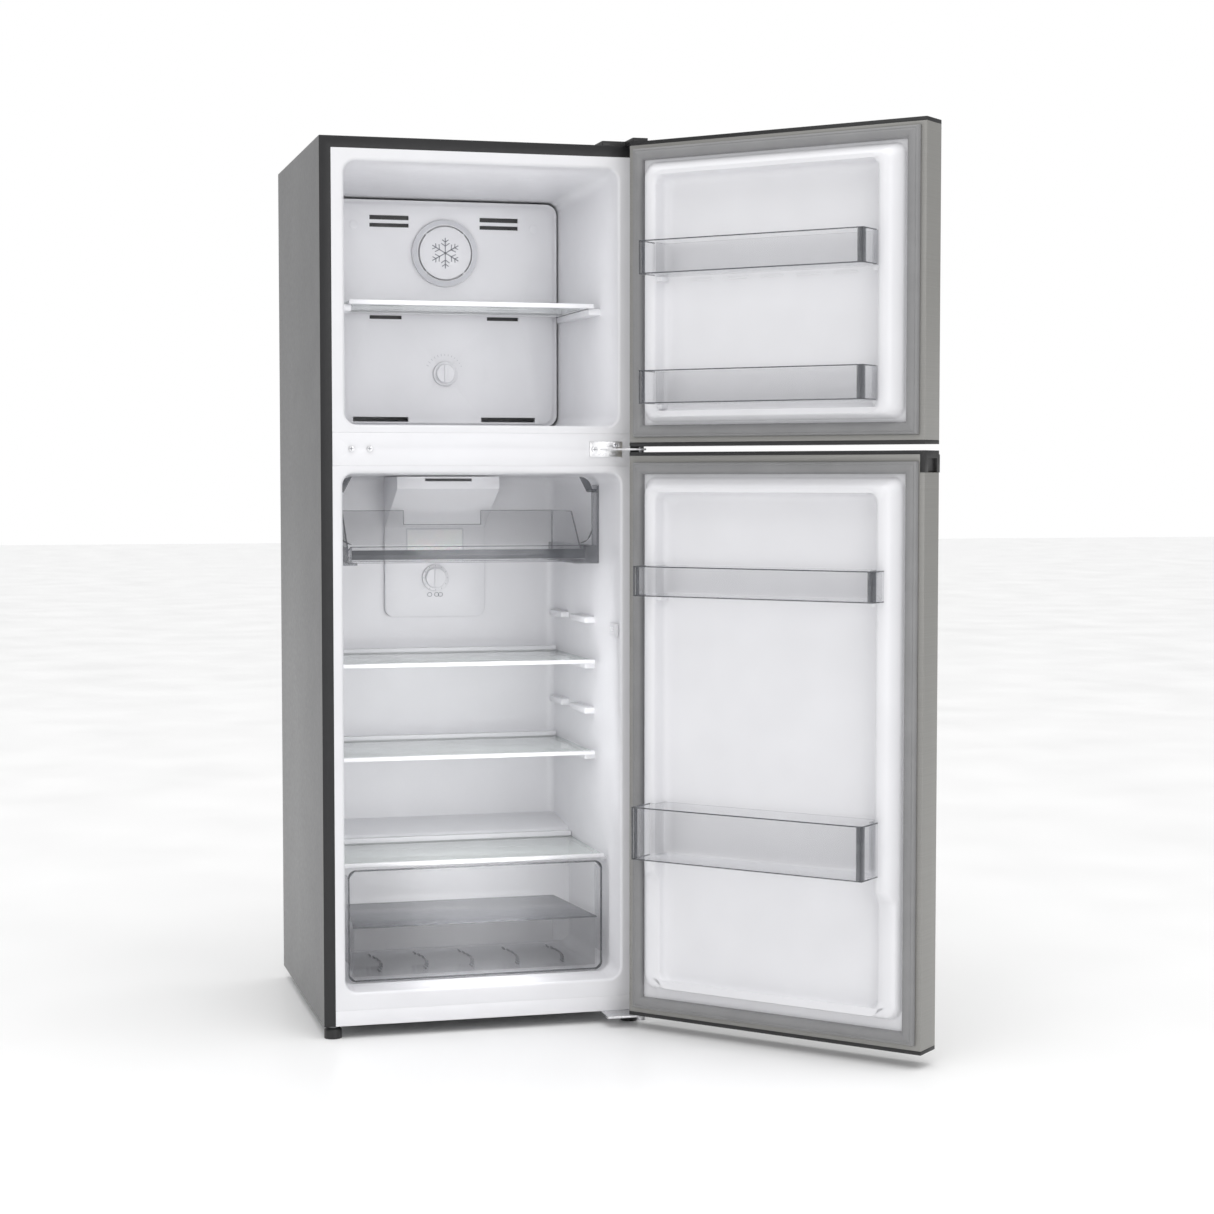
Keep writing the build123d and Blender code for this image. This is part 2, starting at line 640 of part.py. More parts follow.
duct_wall = 2.5
lens_heights = (776.0, 828.0)
lens_half_width = 50.0
with BuildPart() as air_duct:
    extrude(duct_profile(0), amount=duct_half_width, both=True)
    fillet(air_duct.edges().filter_by(Axis.Y).sort_by(Axis.Z)[:2], 16)
    extrude(duct_profile(duct_wall), amount=duct_half_width - duct_wall, both=True, mode=Mode.SUBTRACT)
    block((-42, 42), (duct_overhang[0] - 1, duct_overhang[0] + 4), (917, 922), Mode.SUBTRACT)
    block((-lens_half_width, lens_half_width), (duct_face - 1, duct_face + 5), lens_heights, Mode.SUBTRACT)
    rod((0, duct_face - 1, knob_height), (0, 1, 0), 5 + pin_clearance, 5, Mode.SUBTRACT)
write(air_duct, "air_duct")

with BuildPart() as lamp_lens:
    rounded_slab((duct_face - 1, duct_face + duct_wall), lens_half_width, lens_heights, 0.5)
write(lamp_lens, "lamp_lens")

turning_knob("thermostat_knob", knob_height, duct_face, knob_radius, 3, 5, 7)

plunger_radius = 4.0
with BuildPart() as light_switch:
    switch_space(0, Mode.ADD)
    block((switch_inner - 2, switch_inner),
          (switch_centre[0] - 26, switch_centre[0] + 26), (switch_centre[1] - 11, switch_centre[1] + 11))
    rod((switch_inner - 3, *switch_centre), (1, 0, 0), plunger_radius + pin_clearance, 22, Mode.SUBTRACT)
write(light_switch, "light_switch")

with BuildPart() as switch_plunger:
    rod((switch_inner - 7, *switch_centre), (1, 0, 0), plunger_radius, 18)
    fillet(switch_plunger.edges().group_by(Axis.X)[0], 1.5)
write(switch_plunger, "switch_plunger")


def tray_plan(z, y, halves):
    """A plan outline that narrows from its front to its rear."""
    with BuildSketch(Plane.XY.offset(z)) as plan:
        with BuildLine():
            Polyline((-halves[0], front + y[0]), (halves[0], front + y[0]),
                     (halves[1], front + y[1]), (-halves[1], front + y[1]), close=True)
        make_face()
    return plan.sketch


crisper_floor = crisper_heights[0] + 5
bin_front = crisper_front + 8
with BuildPart() as crisper_drawer:
    rounded_slab((crisper_front, crisper_front + 3), crisper_half_width, crisper_heights, 14)
    extrude(tray_plan(crisper_floor, (crisper_front + 3, crisper_rear), crisper_bin_half_widths),
            amount=crisper_bin_top - crisper_floor)
    inner = [half - clear_wall for half in crisper_bin_half_widths]
    extrude(tray_plan(crisper_floor + clear_wall, (bin_front, crisper_rear - clear_wall), inner),
            amount=crisper_heights[1], mode=Mode.SUBTRACT)
    both_sides((crisper_half_width - 3, crisper_half_width), (crisper_front + 3, crisper_front + 40),
               (110, crisper_heights[1] - 13))
write(crisper_drawer, "crisper_drawer")

with BuildPart() as crisper_lid:
    extrude(tray_plan(crisper_bin_top, (crisper_front + 3, crisper_rear), crisper_bin_half_widths),
            amount=clear_wall)
write(crisper_lid, "crisper_lid")


def chiller_side():
    """The chiller tray from the side: a low front lip and walls that slope up behind it."""
    slope_foot = chiller_front + 32
    rise = chiller_wall_top - 800
    with BuildSketch(Plane.YZ) as side:
        with BuildLine():
            Polyline((front + chiller_front, chiller_floor), (front + chiller_rear, chiller_floor),
                     (front + chiller_rear, chiller_wall_top),
                     (front + slope_foot + rise, chiller_wall_top), (front + slope_foot, 800),
                     (front + chiller_front, chiller_lip), close=True)
        make_face()
    return side.sketch


with BuildPart() as chiller_tray:
    extrude(chiller_side(), amount=chiller_half_width, both=True)
    inner = chiller_half_width - clear_wall
    block((-inner, inner), (chiller_front + 3, chiller_rear - clear_wall),
          (chiller_floor + clear_wall, chiller_wall_top), Mode.SUBTRACT)
    block((-70, 70), (chiller_rear - 10, chiller_rear + 1), (840, 900), Mode.SUBTRACT)
write(chiller_tray, "chiller_tray")

with BuildPart() as chiller_flap:
    rounded_slab((flap_pivot[0] - 1.5, flap_pivot[0] + 1.5), flap_half_width, flap_heights, 22)
    for side in (1, -1):
        rod((side * (flap_half_width - 8), *flap_pivot), (side, 0, 0), 3, 16)
write(chiller_flap, "chiller_flap")

runner_y = (132.0, 400.0)
runner_heights = (775.0, 806.0)
runner_seat = -0.05                  # the runners' outer faces stop this short of the liner
pivot_radius = 3.0
with BuildPart() as chiller_runners:
    fridge.ledges(chiller_half_width + 1.5, runner_y, runner_heights, runner_seat)
    fridge.ledges(chiller_half_width - 14.5, runner_y, (runner_heights[0], chiller_floor - running_gap), runner_seat)
    fridge.ledges(flap_half_width + 1.5, (runner_y[0], runner_y[0] + 14),
                  (runner_heights[1], flap_pivot[1] + 10), runner_seat)
    rod((-width / 2, *flap_pivot), (1, 0, 0), pivot_radius + pin_clearance, width, Mode.SUBTRACT)
write(chiller_runners, "chiller_runners")


# ---------------------------------------------------------------- doors
def dyke_solid(z, grow, h, mode=Mode.ADD):
    """The raised rim of a door liner as a tapered block, shrunk by -grow."""
    rounded_taper((-door_gap + h[0], -door_gap + h[1]),
                  (dyke_half_width + grow, dyke_half_width - dyke_slope + grow),
                  (z[0] - grow, z[1] + grow),
                  (z[0] + dyke_low_slope - grow, z[1] - dyke_high_slope + grow), dyke_corner + grow, mode)


def lower_dyke(trim):
    """Cuts the dyke down below the bottle bin, where the crisper stands forward."""
    rise, top = low_dyke
    block((-half_width, half_width), (-door_gap + rise - trim, -door_gap + dyke_height + 1),
          (foot_height, top + trim), Mode.SUBTRACT)


def dyke_pocket(z, grow, h, mode=Mode.ADD):
    """The recess inside the raised rim, grown outwards."""
    half = dyke_pocket_half_width
    low, high = z[0] + pocket_ends[0], z[1] - pocket_ends[1]
    rounded_taper((-door_gap + h[0], -door_gap + h[1]), (half - 3 + grow, half + grow),
                  (low + 3 - grow, high - 3 + grow), (low - grow, high + grow), pocket_corner + grow, mode)


def door(name, heights, dyke, seal, bins, lower):
    """Skin, end caps, foam, liner and gasket of one door, all in one body.

    The lower door also has a finger grip and a dyke that drops below its bottle bin.
    """
    low, high = heights
    skin = (low + cap_height, high - cap_height)
    gasket_outer = gasket_inner_half + gasket_width
    gasket_z = ((seal[0] - gasket_width, seal[1] + gasket_width), seal)
    outer_y, inner_y = -door_gap - door_thickness, -door_gap
    bush = pin_engagement + 2

    def body(z, inset, inner, mode=Mode.ADD):
        """The door's rounded body between two heights, moved inwards from the skin."""
        half = door_half_width - inset
        with BuildSketch(Plane.XY.offset(z[0])) as plan:
            with Locations((0, front + (outer_y + inset + inner) / 2)):
                Rectangle(2 * half, inner - outer_y - inset)
            fillet(plan.vertices().group_by(Axis.Y)[0], corner_radius - inset)
        extrude(plan.sketch, amount=z[1] - z[0], mode=mode)

    def grip_space(mode):
        """The moulded finger grip at the free end, under the top cap."""
        block((-door_half_width, -door_half_width + 8), (outer_y, inner_y),
              (skin[1] - grip_height, skin[1]), mode)

    with BuildPart() as shell:
        body(skin, 0, inner_y)
        body(skin, sheet, inner_y - sheet, Mode.SUBTRACT)
        block((-gasket_outer, gasket_outer), (inner_y - sheet, inner_y), gasket_z[0], Mode.SUBTRACT)
        if lower:
            grip_space(Mode.SUBTRACT)
    write_on_door(shell, f"{name}_skin")

    with BuildPart() as caps:
        body((low, skin[0]), 0, inner_y)
        body((skin[1], high), 0, inner_y)
        if lower:
            grip_space(Mode.ADD)
            block((-door_half_width - 1, -door_half_width + 5), (outer_y + 10, inner_y - 12),
                  (skin[1] - grip_height - 1, skin[1] - 6), Mode.SUBTRACT)
        for end, direction in ((low, 1), (high, -1)):
            rod((pivot_x, -hinge_forward, end), (0, 0, direction), bush_radius, bush + 2)
            rod((pivot_x, -hinge_forward, end), (0, 0, direction), pin_radius + pin_clearance, bush,
                Mode.SUBTRACT)
    write_on_door(caps, f"{name}_caps")

    with BuildPart() as core:
        dyke_solid(dyke, -liner_wall, (-liner_wall, dyke_height - liner_wall))
        if lower:
            lower_dyke(liner_wall)
        dyke_pocket(dyke, liner_wall, (-liner_wall, dyke_height + 1), Mode.SUBTRACT)

    with BuildPart() as foam:
        body(skin, sheet, inner_y - liner_wall)
        add(core.part)
        for end, direction in ((low, 1), (high, -1)):
            rod((pivot_x, -hinge_forward, end), (0, 0, direction), bush_radius, bush + 2, Mode.SUBTRACT)
        if lower:
            grip_space(Mode.SUBTRACT)
    write_on_door(foam, f"{name}_foam")

    with BuildPart() as liner:
        block((-gasket_outer + 5, gasket_outer - 5), (inner_y - liner_wall, inner_y),
              (gasket_z[0][0] + 5, gasket_z[0][1] - 5))
        dyke_solid(dyke, 0, (0, dyke_height))
        if lower:
            lower_dyke(0)
        dyke_pocket(dyke, 0, (0, dyke_height + 1), Mode.SUBTRACT)
        for z in bins:
            both_sides((dyke_pocket_half_width - 10, dyke_pocket_half_width - 1), (inner_y + 3, inner_y + 26),
                       (z - running_gap - 8, z - running_gap))
        add(core.part, mode=Mode.SUBTRACT)
    write_on_door(liner, f"{name}_liner")

    with BuildPart() as gasket:
        rounded_slab((inner_y, inner_y + gasket_thickness), gasket_outer, gasket_z[0], 3)
        rounded_slab((inner_y, inner_y + gasket_thickness), gasket_inner_half, gasket_z[1], 3, Mode.SUBTRACT)
    write_on_door(gasket, f"{name}_gasket")


def door_bin(name, z, half, reach):
    """A clear bin: a narrow rear that drops into the liner and a wide front over the rim."""
    rear_half = dyke_pocket_half_width - 4
    near, rim, far = -door_gap + 5, -door_gap + dyke_height + 1.5, -door_gap + reach

    def plan(height, wall):
        """The bin's outline, moved inwards by a wall."""
        with BuildSketch(Plane.XY.offset(height)) as outline:
            with BuildLine():
                Polyline((-rear_half + wall, front + near + wall), (-rear_half + wall, front + rim + wall),
                         (-half + wall, front + rim + wall), (-half + wall, front + far - wall),
                         (half - wall, front + far - wall), (half - wall, front + rim + wall),
                         (rear_half - wall, front + rim + wall), (rear_half - wall, front + near + wall),
                         close=True)
            make_face()
            fillet(outline.vertices().group_by(Axis.Y)[-1], 10 - wall)
        return outline.sketch

    with BuildPart() as tray:
        extrude(plan(z[0], 0), amount=z[1] - z[0])
        extrude(plan(z[0] + bin_wall, bin_wall), amount=z[1] - z[0], mode=Mode.SUBTRACT)
    write_on_door(tray, name)


freezer_bins = {"freezer_bin_upper": ((1250.0, 1304.0), dyke_pocket_half_width, 80.0),
                "freezer_bin_lower": ((1042.5, 1096.0), dyke_pocket_half_width, 80.0)}
fridge_bins = {"fridge_bin": ((731.0, 780.0), dyke_pocket_half_width + 16, 71.0),
               "bottle_bin": ((303.0, 389.0), dyke_pocket_half_width + 8, 89.0)}

bin_floors = [[place[0][0] for place in bins.values()] for bins in (freezer_bins, fridge_bins)]
door("freezer_door", freezer_door_heights, freezer_dyke, freezer_seal, bin_floors[0], False)
door("fridge_door", fridge_door_heights, fridge_dyke, fridge_seal, bin_floors[1], True)
for name, (z, half, reach) in {**freezer_bins, **fridge_bins}.items():
    door_bin(name, z, half, reach)
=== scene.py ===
import json
import math

import bmesh
import bpy
from bpy.props import FloatProperty, FloatVectorProperty, IntProperty, PointerProperty
from mathutils import Matrix, Vector


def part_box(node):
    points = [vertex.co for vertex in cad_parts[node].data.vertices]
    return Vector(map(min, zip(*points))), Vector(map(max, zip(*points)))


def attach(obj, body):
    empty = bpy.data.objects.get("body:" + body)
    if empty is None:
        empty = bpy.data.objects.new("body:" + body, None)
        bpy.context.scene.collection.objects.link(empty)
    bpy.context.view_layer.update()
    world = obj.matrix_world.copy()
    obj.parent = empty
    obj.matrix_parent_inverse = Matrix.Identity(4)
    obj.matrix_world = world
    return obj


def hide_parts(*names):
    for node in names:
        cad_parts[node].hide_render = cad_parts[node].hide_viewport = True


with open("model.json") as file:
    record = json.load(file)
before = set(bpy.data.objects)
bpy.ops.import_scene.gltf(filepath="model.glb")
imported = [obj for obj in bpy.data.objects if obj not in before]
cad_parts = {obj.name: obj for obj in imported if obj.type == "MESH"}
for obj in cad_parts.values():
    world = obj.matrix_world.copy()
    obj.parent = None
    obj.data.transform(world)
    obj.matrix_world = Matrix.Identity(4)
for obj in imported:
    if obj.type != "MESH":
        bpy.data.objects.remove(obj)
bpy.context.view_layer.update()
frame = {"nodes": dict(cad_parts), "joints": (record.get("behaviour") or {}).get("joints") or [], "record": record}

bl_info = {
    "name": "Top Freezer Refrigerator",
    "version": (1, 0, 0),
    "blender": (4, 5, 0),
    "location": "3D View > Sidebar > Refrigerator",
    "description": "Finishes a two-door refrigerator around its packed frame",
    "category": "Object",
}

MM = 0.001
NODES = frame["nodes"]
JOINTS = {j["name"]: j for j in frame["joints"]}
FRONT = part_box("front_frame")[0].y
DOOR_PIVOT = Vector(JOINTS["freezer_door_hinge"]["pos_m"])
DOOR_REST = -math.radians(JOINTS["freezer_door_hinge"]["range_deg"][0])
FACE_USER = Matrix.Rotation(math.radians(90), 4, "X")
SLOTS = {part["node"]: part["material_slot"] for part in frame["record"]["subparts"]}
BODY_OF = {node: body for body, nodes in frame["record"]["behaviour"]["bodies"].items() for node in nodes}
# door pieces are drawn with the doors closed, and this swings them out to where the doors rest
SWING = (Matrix.Translation(DOOR_PIVOT) @ Matrix.Rotation(DOOR_REST, 4, "Z")
         @ Matrix.Translation(-DOOR_PIVOT))

# Sizes are in mm, heights are above the floor, and depths are behind the front flange.
# each compartment's front and rear: half width, bottom, top and depth
CAVITIES = {
    "freezer_liner": ((230.0, 1009.5, 1436.5, 0), (204.0, 1013.0, 1412.0, 430.0)),
    "fridge_liner": ((234.5, 76.0, 930.5, 0), (225.0, 80.0, 926.0, 440.0)),
}
CAVITY_CORNER = 20
FLANGE_HALF = 251.0
FREEZER_REST = (1199.7, 1211.7)
SHELF_LEVEL, SHELF_PITCH, SHELF_PLACES = 442.7, 79.5, 4
REST_HEIGHT = 12
CRISPER_LEDGE = (264.3, 270.3)
# the step over the machine compartment: where it starts and ends, its front height and its rise
STEP_FRONT, STEP_REAR, STEP_TOP, STEP_RISE = 330, 444, 286, 16
# a closed door's inner face, and the rim on it: foot and head of the rim, half width, height and lean
DOOR_FACE = -12.0
RIMS = {"freezer_door": (1015.0, 1438.0), "fridge_door": (75.5, 924.0)}
RIM_HALF, RIM_HEIGHT = 234.5, 32.0
RIM_LEAN, RIM_FOOT_LEAN = 15, 8
RECESS_HALF, RECESS_HEAD, RECESS_FOOT, RECESS_TAPER = 200.0, 24, 14, 3
# each door's bins: heights, half width, and reach from the door's inner face
BINS = {
    "freezer_door": {"freezer_bin_upper": ((1250.0, 1304.0), 200.0, 80.0),
                     "freezer_bin_lower": ((1042.5, 1096.0), 200.0, 80.0)},
    "fridge_door": {"fridge_bin": ((731.0, 780.0), 216.0, 71.0),
                    "bottle_bin": ((303.0, 389.0), 208.0, 89.0)},
}
DUCT_FACE = 431.0
LAMP_COVER_HALF, LAMP_COVER_HEIGHTS = 53, (773, 831)
# black patches of painted shade seen through the evaporator cover's slots: x on the right-hand side, then heights
VENT_SHADE_PATCHES = (((62, 136), (1376, 1388)), ((62, 136), (1363, 1374)),
           ((75, 137), (1220, 1230)), ((75, 137), (1201, 1212)))
# screws along the crossrail: x, height, and how far the head stands forward of the rail
RAIL_SCREWS = ((-220, 970.5, 0), (-190, 970.5, 0), (188.4, 970.5, 2), (224, 978.5, 2))


# ------------------------------------------------------------------ materials
def srgb(code):
    """A hex sRGB colour as linear RGBA."""
    parts = [int(code[i:i + 2], 16) / 255 for i in (1, 3, 5)]
    return (*[c / 12.92 if c <= 0.04045 else ((c + 0.055) / 1.055) ** 2.4 for c in parts], 1.0)


def add_node(tree, kind, inputs=None, links=None, **settings):
    """A shader node with its settings, socket values and incoming links."""
    made = tree.nodes.new(kind)
    for name, value in settings.items():
        setattr(made, name, value)
    for name, value in (inputs or {}).items():
        made.inputs[name].default_value = value
    for name, socket in (links or {}).items():
        tree.links.new(socket, made.inputs[name])
    return made


def start_material(name, **constants):
    """A material with a Principled BSDF, its constant sockets set directly, and Object coordinates."""
    material = bpy.data.materials.new(name)
    material.use_nodes = True
    tree = material.node_tree
    shader = tree.nodes["Principled BSDF"]
    for socket, value in constants.items():
        shader.inputs[socket.replace("_", " ")].default_value = value
    place = add_node(tree, "ShaderNodeTexCoord")
    return material, tree, shader, place.outputs["Object"]


def noise(tree, place, size_mm, detail=2.0, stretch=(1, 1, 1)):
    """Noise whose features are about size_mm across, stretched along the object's axes."""
    scale = add_node(tree, "ShaderNodeMapping", {"Scale": [1 / (size_mm * MM * s) for s in stretch]},
                     {"Vector": place})
    return add_node(tree, "ShaderNodeTexNoise", {"Scale": 1.0, "Detail": detail},
                    {"Vector": scale.outputs[0]}).outputs["Fac"]


def vary(tree, shader, factor, socket, low, high, spread=(0.3, 0.7)):
    """Drives a socket between two values, or two colours, by a factor."""
    ramp = add_node(tree, "ShaderNodeValToRGB", links={"Fac": factor})
    for stop, at, value in zip(ramp.color_ramp.elements, spread, (low, high)):
        stop.position = at
        stop.color = srgb(value) if isinstance(value, str) else (value, value, value, 1)
    tree.links.new(ramp.outputs["Color"], shader.inputs[socket])


def bump(tree, shader, height, depth_mm, strength=1.0):
    """Fine surface relief, its depth in real millimetres."""
    made = add_node(tree, "ShaderNodeBump", {"Strength": strength, "Distance": depth_mm * MM},
                    {"Height": height})
    tree.links.new(made.outputs["Normal"], shader.inputs["Normal"])


def sprayed_enamel(name, dark, light, roughness, coat=0.0):
    """Sprayed and baked enamel on steel: a fine orange peel and a slightly uneven gloss."""
    material, tree, shader, place = start_material(name, IOR=1.5, Coat_Weight=coat, Coat_Roughness=0.12)
    vary(tree, shader, noise(tree, place, 60), "Base Color", dark, light)
    vary(tree, shader, noise(tree, place, 9, 3), "Roughness", roughness - 0.04, roughness + 0.05)
    bump(tree, shader, noise(tree, place, 3), 0.003)
    return material


def moulded_plastic(name, dark, light, roughness, grain_mm=0.8, grain_depth=0.01, sss=0.0):
    """Injection-moulded or thermoformed plastic: a faint moulding texture and soft tone changes."""
    material, tree, shader, place = start_material(name, IOR=1.53, Subsurface_Weight=sss,
                                                   Subsurface_Scale=2 * MM)
    vary(tree, shader, noise(tree, place, 85, 1), "Base Color", dark, light)
    vary(tree, shader, noise(tree, place, 14), "Roughness", roughness - 0.05, roughness + 0.05)
    bump(tree, shader, noise(tree, place, grain_mm), grain_depth)
    return material


def brushed_skin(name, dark, light):
    """Film-laminated door steel with a horizontal brush grain, drawn 0.5 mm coarse so that it shows."""
    material, tree, shader, place = start_material(name, Metallic=0.35, IOR=1.5)
    grain = noise(tree, place, 0.5, 2, (400, 400, 1))
    vary(tree, shader, grain, "Base Color", dark, light)
    vary(tree, shader, noise(tree, place, 0.9, 2, (250, 250, 1)), "Roughness", 0.36, 0.46)
    bump(tree, shader, grain, 0.001)
    return material


def plated_steel(name, dark, light, size_mm):
    """Zinc-plated or galvanised steel: crystal spangle with its own tone and gloss in each grain."""
    material, tree, shader, place = start_material(name, Metallic=1.0)
    scale = add_node(tree, "ShaderNodeMapping", {"Scale": [1 / (size_mm * MM)] * 3}, {"Vector": place})
    cells = add_node(tree, "ShaderNodeTexVoronoi", {"Scale": 1.0, "Randomness": 1.0},
                     {"Vector": scale.outputs[0]})
    vary(tree, shader, cells.outputs["Color"], "Base Color", dark, light, (0.2, 0.8))
    vary(tree, shader, noise(tree, place, size_mm * 0.6), "Roughness", 0.26, 0.42)
    bump(tree, shader, noise(tree, place, 1.2), 0.01)
    return material


def see_through(tree, shader, face_on, edge_on):
    """Thin clear walls: nearly invisible face on, grey and more solid where the eye runs along them."""
    facing = add_node(tree, "ShaderNodeLayerWeight", {"Blend": 0.35})
    vary(tree, shader, facing.outputs["Facing"], "Alpha", face_on, edge_on, (0.15, 0.85))


def clear_styrene(name, tint, face_on, edge_on, roughness=0.06):
    """Clear moulded styrene: walls vanish face on, edges gather grey, flow marks vary tone and gloss."""
    material, tree, shader, place = start_material(name, IOR=1.57)
    see_through(tree, shader, face_on, edge_on)
    vary(tree, shader, noise(tree, place, 30), "Base Color", tint[0], tint[1])
    vary(tree, shader, noise(tree, place, 8), "Roughness", roughness, roughness + 0.05)
    bump(tree, shader, noise(tree, place, 25), 0.02, 0.4)
    return material


def shelf_glass(name, face, edge):
    """Toughened float glass: clear through its face, pale green where the ground edge is seen."""
    material, tree, shader, place = start_material(name, IOR=1.52)
    geometry = add_node(tree, "ShaderNodeNewGeometry")
    split = add_node(tree, "ShaderNodeSeparateXYZ", links={"Vector": geometry.outputs["Normal"]})
    upright = add_node(tree, "ShaderNodeMath", operation="ABSOLUTE", links={0: split.outputs["Z"]})
    vary(tree, shader, upright.outputs[0], "Base Color", edge, face, (0.2, 0.8))
    see_through(tree, shader, 0.12, 0.45)
    vary(tree, shader, noise(tree, place, 60), "Roughness", 0.03, 0.06)
    return material


def extruded_seal(name):
    """Soft PVC door seal: matt, with faint draw lines along it and a dusty tone."""
    material, tree, shader, place = start_material(name, IOR=1.52, Sheen_Weight=0.15, Sheen_Roughness=0.5)
    vary(tree, shader, noise(tree, place, 45), "Base Color", "#818182", "#878788")
    vary(tree, shader, noise(tree, place, 6), "Roughness", 0.5, 0.62)
    bump(tree, shader, noise(tree, place, 0.7), 0.015)
    return material


def foamed_polyurethane(name):
    """Rigid foam: fine cells, matt, cream yellow."""
    material, tree, shader, place = start_material(name)
    vary(tree, shader, noise(tree, place, 30), "Base Color", "#cdb983", "#ddcc9c")
    vary(tree, shader, noise(tree, place, 4), "Roughness", 0.85, 0.95)
    bump(tree, shader, noise(tree, place, 1.0), 0.2)
    return material


def make_materials():
    """Every finish of the appliance, keyed by what it is."""
    return {
        "cabinet_enamel": sprayed_enamel("cabinet_grey_enamel", "#777778", "#7c7c7d", 0.45),
        "frame_enamel": sprayed_enamel("front_frame_charcoal_enamel", "#18181a", "#1c1c1e", 0.42),
        "white_enamel": sprayed_enamel("crossrail_white_enamel", "#e6e6e9", "#e9e9ec", 0.34),
        "black_enamel": sprayed_enamel("compressor_black_enamel", "#111111", "#1a1a1a", 0.25, 0.3),
        "liner_hips": moulded_plastic("liner_white_polystyrene", "#e1e1e4", "#e4e4e7", 0.34, 9, 0.004),
        "white_abs": moulded_plastic("white_abs", "#e4e4e7", "#e7e7ea", 0.36, 6, 0.004),
        "grey_abs": moulded_plastic("grey_abs", "#85868a", "#8f9094", 0.4),
        "black_abs": moulded_plastic("door_cap_black_abs", "#1b1b1c", "#222223", 0.42, 1.5, 0.01),
        "door_steel": brushed_skin("door_skin_laminated_steel", "#8f8e8b", "#959491"),
        "zinc": plated_steel("galvanised_sheet", "#9b9d9f", "#aaacae", 9),
        "hinge_zinc": plated_steel("zinc_plated_hinge_steel", "#cfcfd1", "#e2e2e4", 3),
        "aluminium": plated_steel("evaporator_aluminium", "#c8c9ca", "#dcdddd", 6),
        "seal": extruded_seal("door_seal_pvc"),
        "foam": foamed_polyurethane("polyurethane_foam"),
        "rubber": moulded_plastic("black_rubber", "#161616", "#202020", 0.6, 0.7, 0.03),
        "glass": shelf_glass("shelf_float_glass", "#dfe6e4", "#a9bdb6"),
        "clear": clear_styrene("clear_styrene", ("#cccdd2", "#d4d5da"), 0.05, 0.4),
        # dark grey, nearly solid clear plastic: painted shade standing in for the dark look refraction gives the
        # edges and rims of clear parts
        "clear_edge": clear_styrene("clear_styrene_painted_edge_shade", ("#55575c", "#5f6166"), 0.7, 0.85),
        "smoke": clear_styrene("smoky_styrene", ("#7c7e84", "#85878d"), 0.32, 0.7, 0.12),
        "lens": moulded_plastic("lamp_lens_opal_acrylic", "#f2f2f2", "#f8f8f8", 0.35, 4, 0.01, 0.3),
        # grey for printed marks, also used as painted shade in the screw recesses
        "mark": moulded_plastic("grey_print_and_recess_shade", "#8b8d93", "#94969c", 0.5),
        "soft_mark": moulded_plastic("pale_moulded_mark", "#c3c4c9", "#cbccd1", 0.45),
    }


NODE_FINISH = {
    "cabinet_enamel": ["outer_shell"],
    "frame_enamel": ["front_frame"],
    "white_enamel": ["crossrail_cover", "plinth"],
    "black_enamel": ["compressor", "condenser"],
    "liner_hips": ["freezer_liner", "fridge_liner", "freezer_door_liner", "fridge_door_liner"],
    "white_abs": ["evaporator_cover", "fan_guard", "freezer_knob", "thermostat_knob", "freezer_shelf_trim",
                  "upper_shelf_trim", "lower_shelf_trim", "crisper_shelf_trim", "air_duct", "light_switch",
                  "switch_plunger"],
    "grey_abs": ["fan_blade", "fan_motor", "left_roller", "right_roller"],
    "black_abs": ["freezer_door_caps", "fridge_door_caps", "top_hinge_cover", "left_foot", "right_foot",
                  "drip_tray"],
    "door_steel": ["freezer_door_skin", "fridge_door_skin"],
    "zinc": ["back_panel", "base_pan"],
    "hinge_zinc": ["top_hinge", "mid_hinge", "bottom_hinge", "cabinet_screws"],
    "aluminium": ["evaporator"],
    "seal": ["freezer_door_gasket", "fridge_door_gasket"],
    "foam": ["insulation_foam", "freezer_door_foam", "fridge_door_foam"],
    "rubber": ["cord_gland"],
    "glass": ["freezer_shelf_glass", "upper_shelf_glass", "lower_shelf_glass", "crisper_shelf_glass"],
    "clear": ["crisper_drawer", "chiller_tray", "chiller_flap", "freezer_bin_upper", "freezer_bin_lower",
              "fridge_bin", "bottle_bin"],
    "smoke": ["crisper_lid", "chiller_runners"],
    "lens": ["lamp_lens"],
}
FINISH_OF = {node: finish for finish, names in NODE_FINISH.items() for node in names}
FINISH = {}
FINISH_SLOTS = {finish: SLOTS[names[0]] for finish, names in NODE_FINISH.items()}
FINISH_SLOTS.update(clear_edge="clear_plastic", mark="grey_plastic", soft_mark="white_plastic")


# ------------------------------------------------------------------ modelling
def link_mesh(name, bm):
    """A smooth-shaded mesh object from a finished bmesh, at the origin."""
    bmesh.ops.remove_doubles(bm, verts=bm.verts, dist=0.002 * MM)
    bmesh.ops.recalc_face_normals(bm, faces=bm.faces)
    mesh = bpy.data.meshes.new(name)
    bm.to_mesh(mesh)
    bm.free()
    mesh.shade_smooth()
    mesh.set_sharp_from_angle(angle=math.radians(32))
    piece = bpy.data.objects.new(name, mesh)
    bpy.context.scene.collection.objects.link(piece)
    return piece


def place_piece(name, bm, finish, body, nodes=(), on_door=False):
    """Links a piece, gives it its finish, sets it on its body and lets it stand for CAD nodes."""
    if on_door:
        bmesh.ops.transform(bm, matrix=SWING, verts=bm.verts)
    piece = link_mesh(name, bm)
    piece.data.materials.append(FINISH[finish])
    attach(piece, body)
    if nodes:
        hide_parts(*nodes)
    return piece


def outline_point(outline, side, upright, turn):
    """A point of a rounded rectangle: which corner it belongs to and where on that corner's arc."""
    half, (low, high), depth, radius = outline
    x = side * (half - radius) + turn[0] * radius
    z = (low + high) / 2 + upright * ((high - low) / 2 - radius) + turn[1] * radius
    return Vector((x, 0, z)) * MM + Vector((0, FRONT + depth * MM, 0))


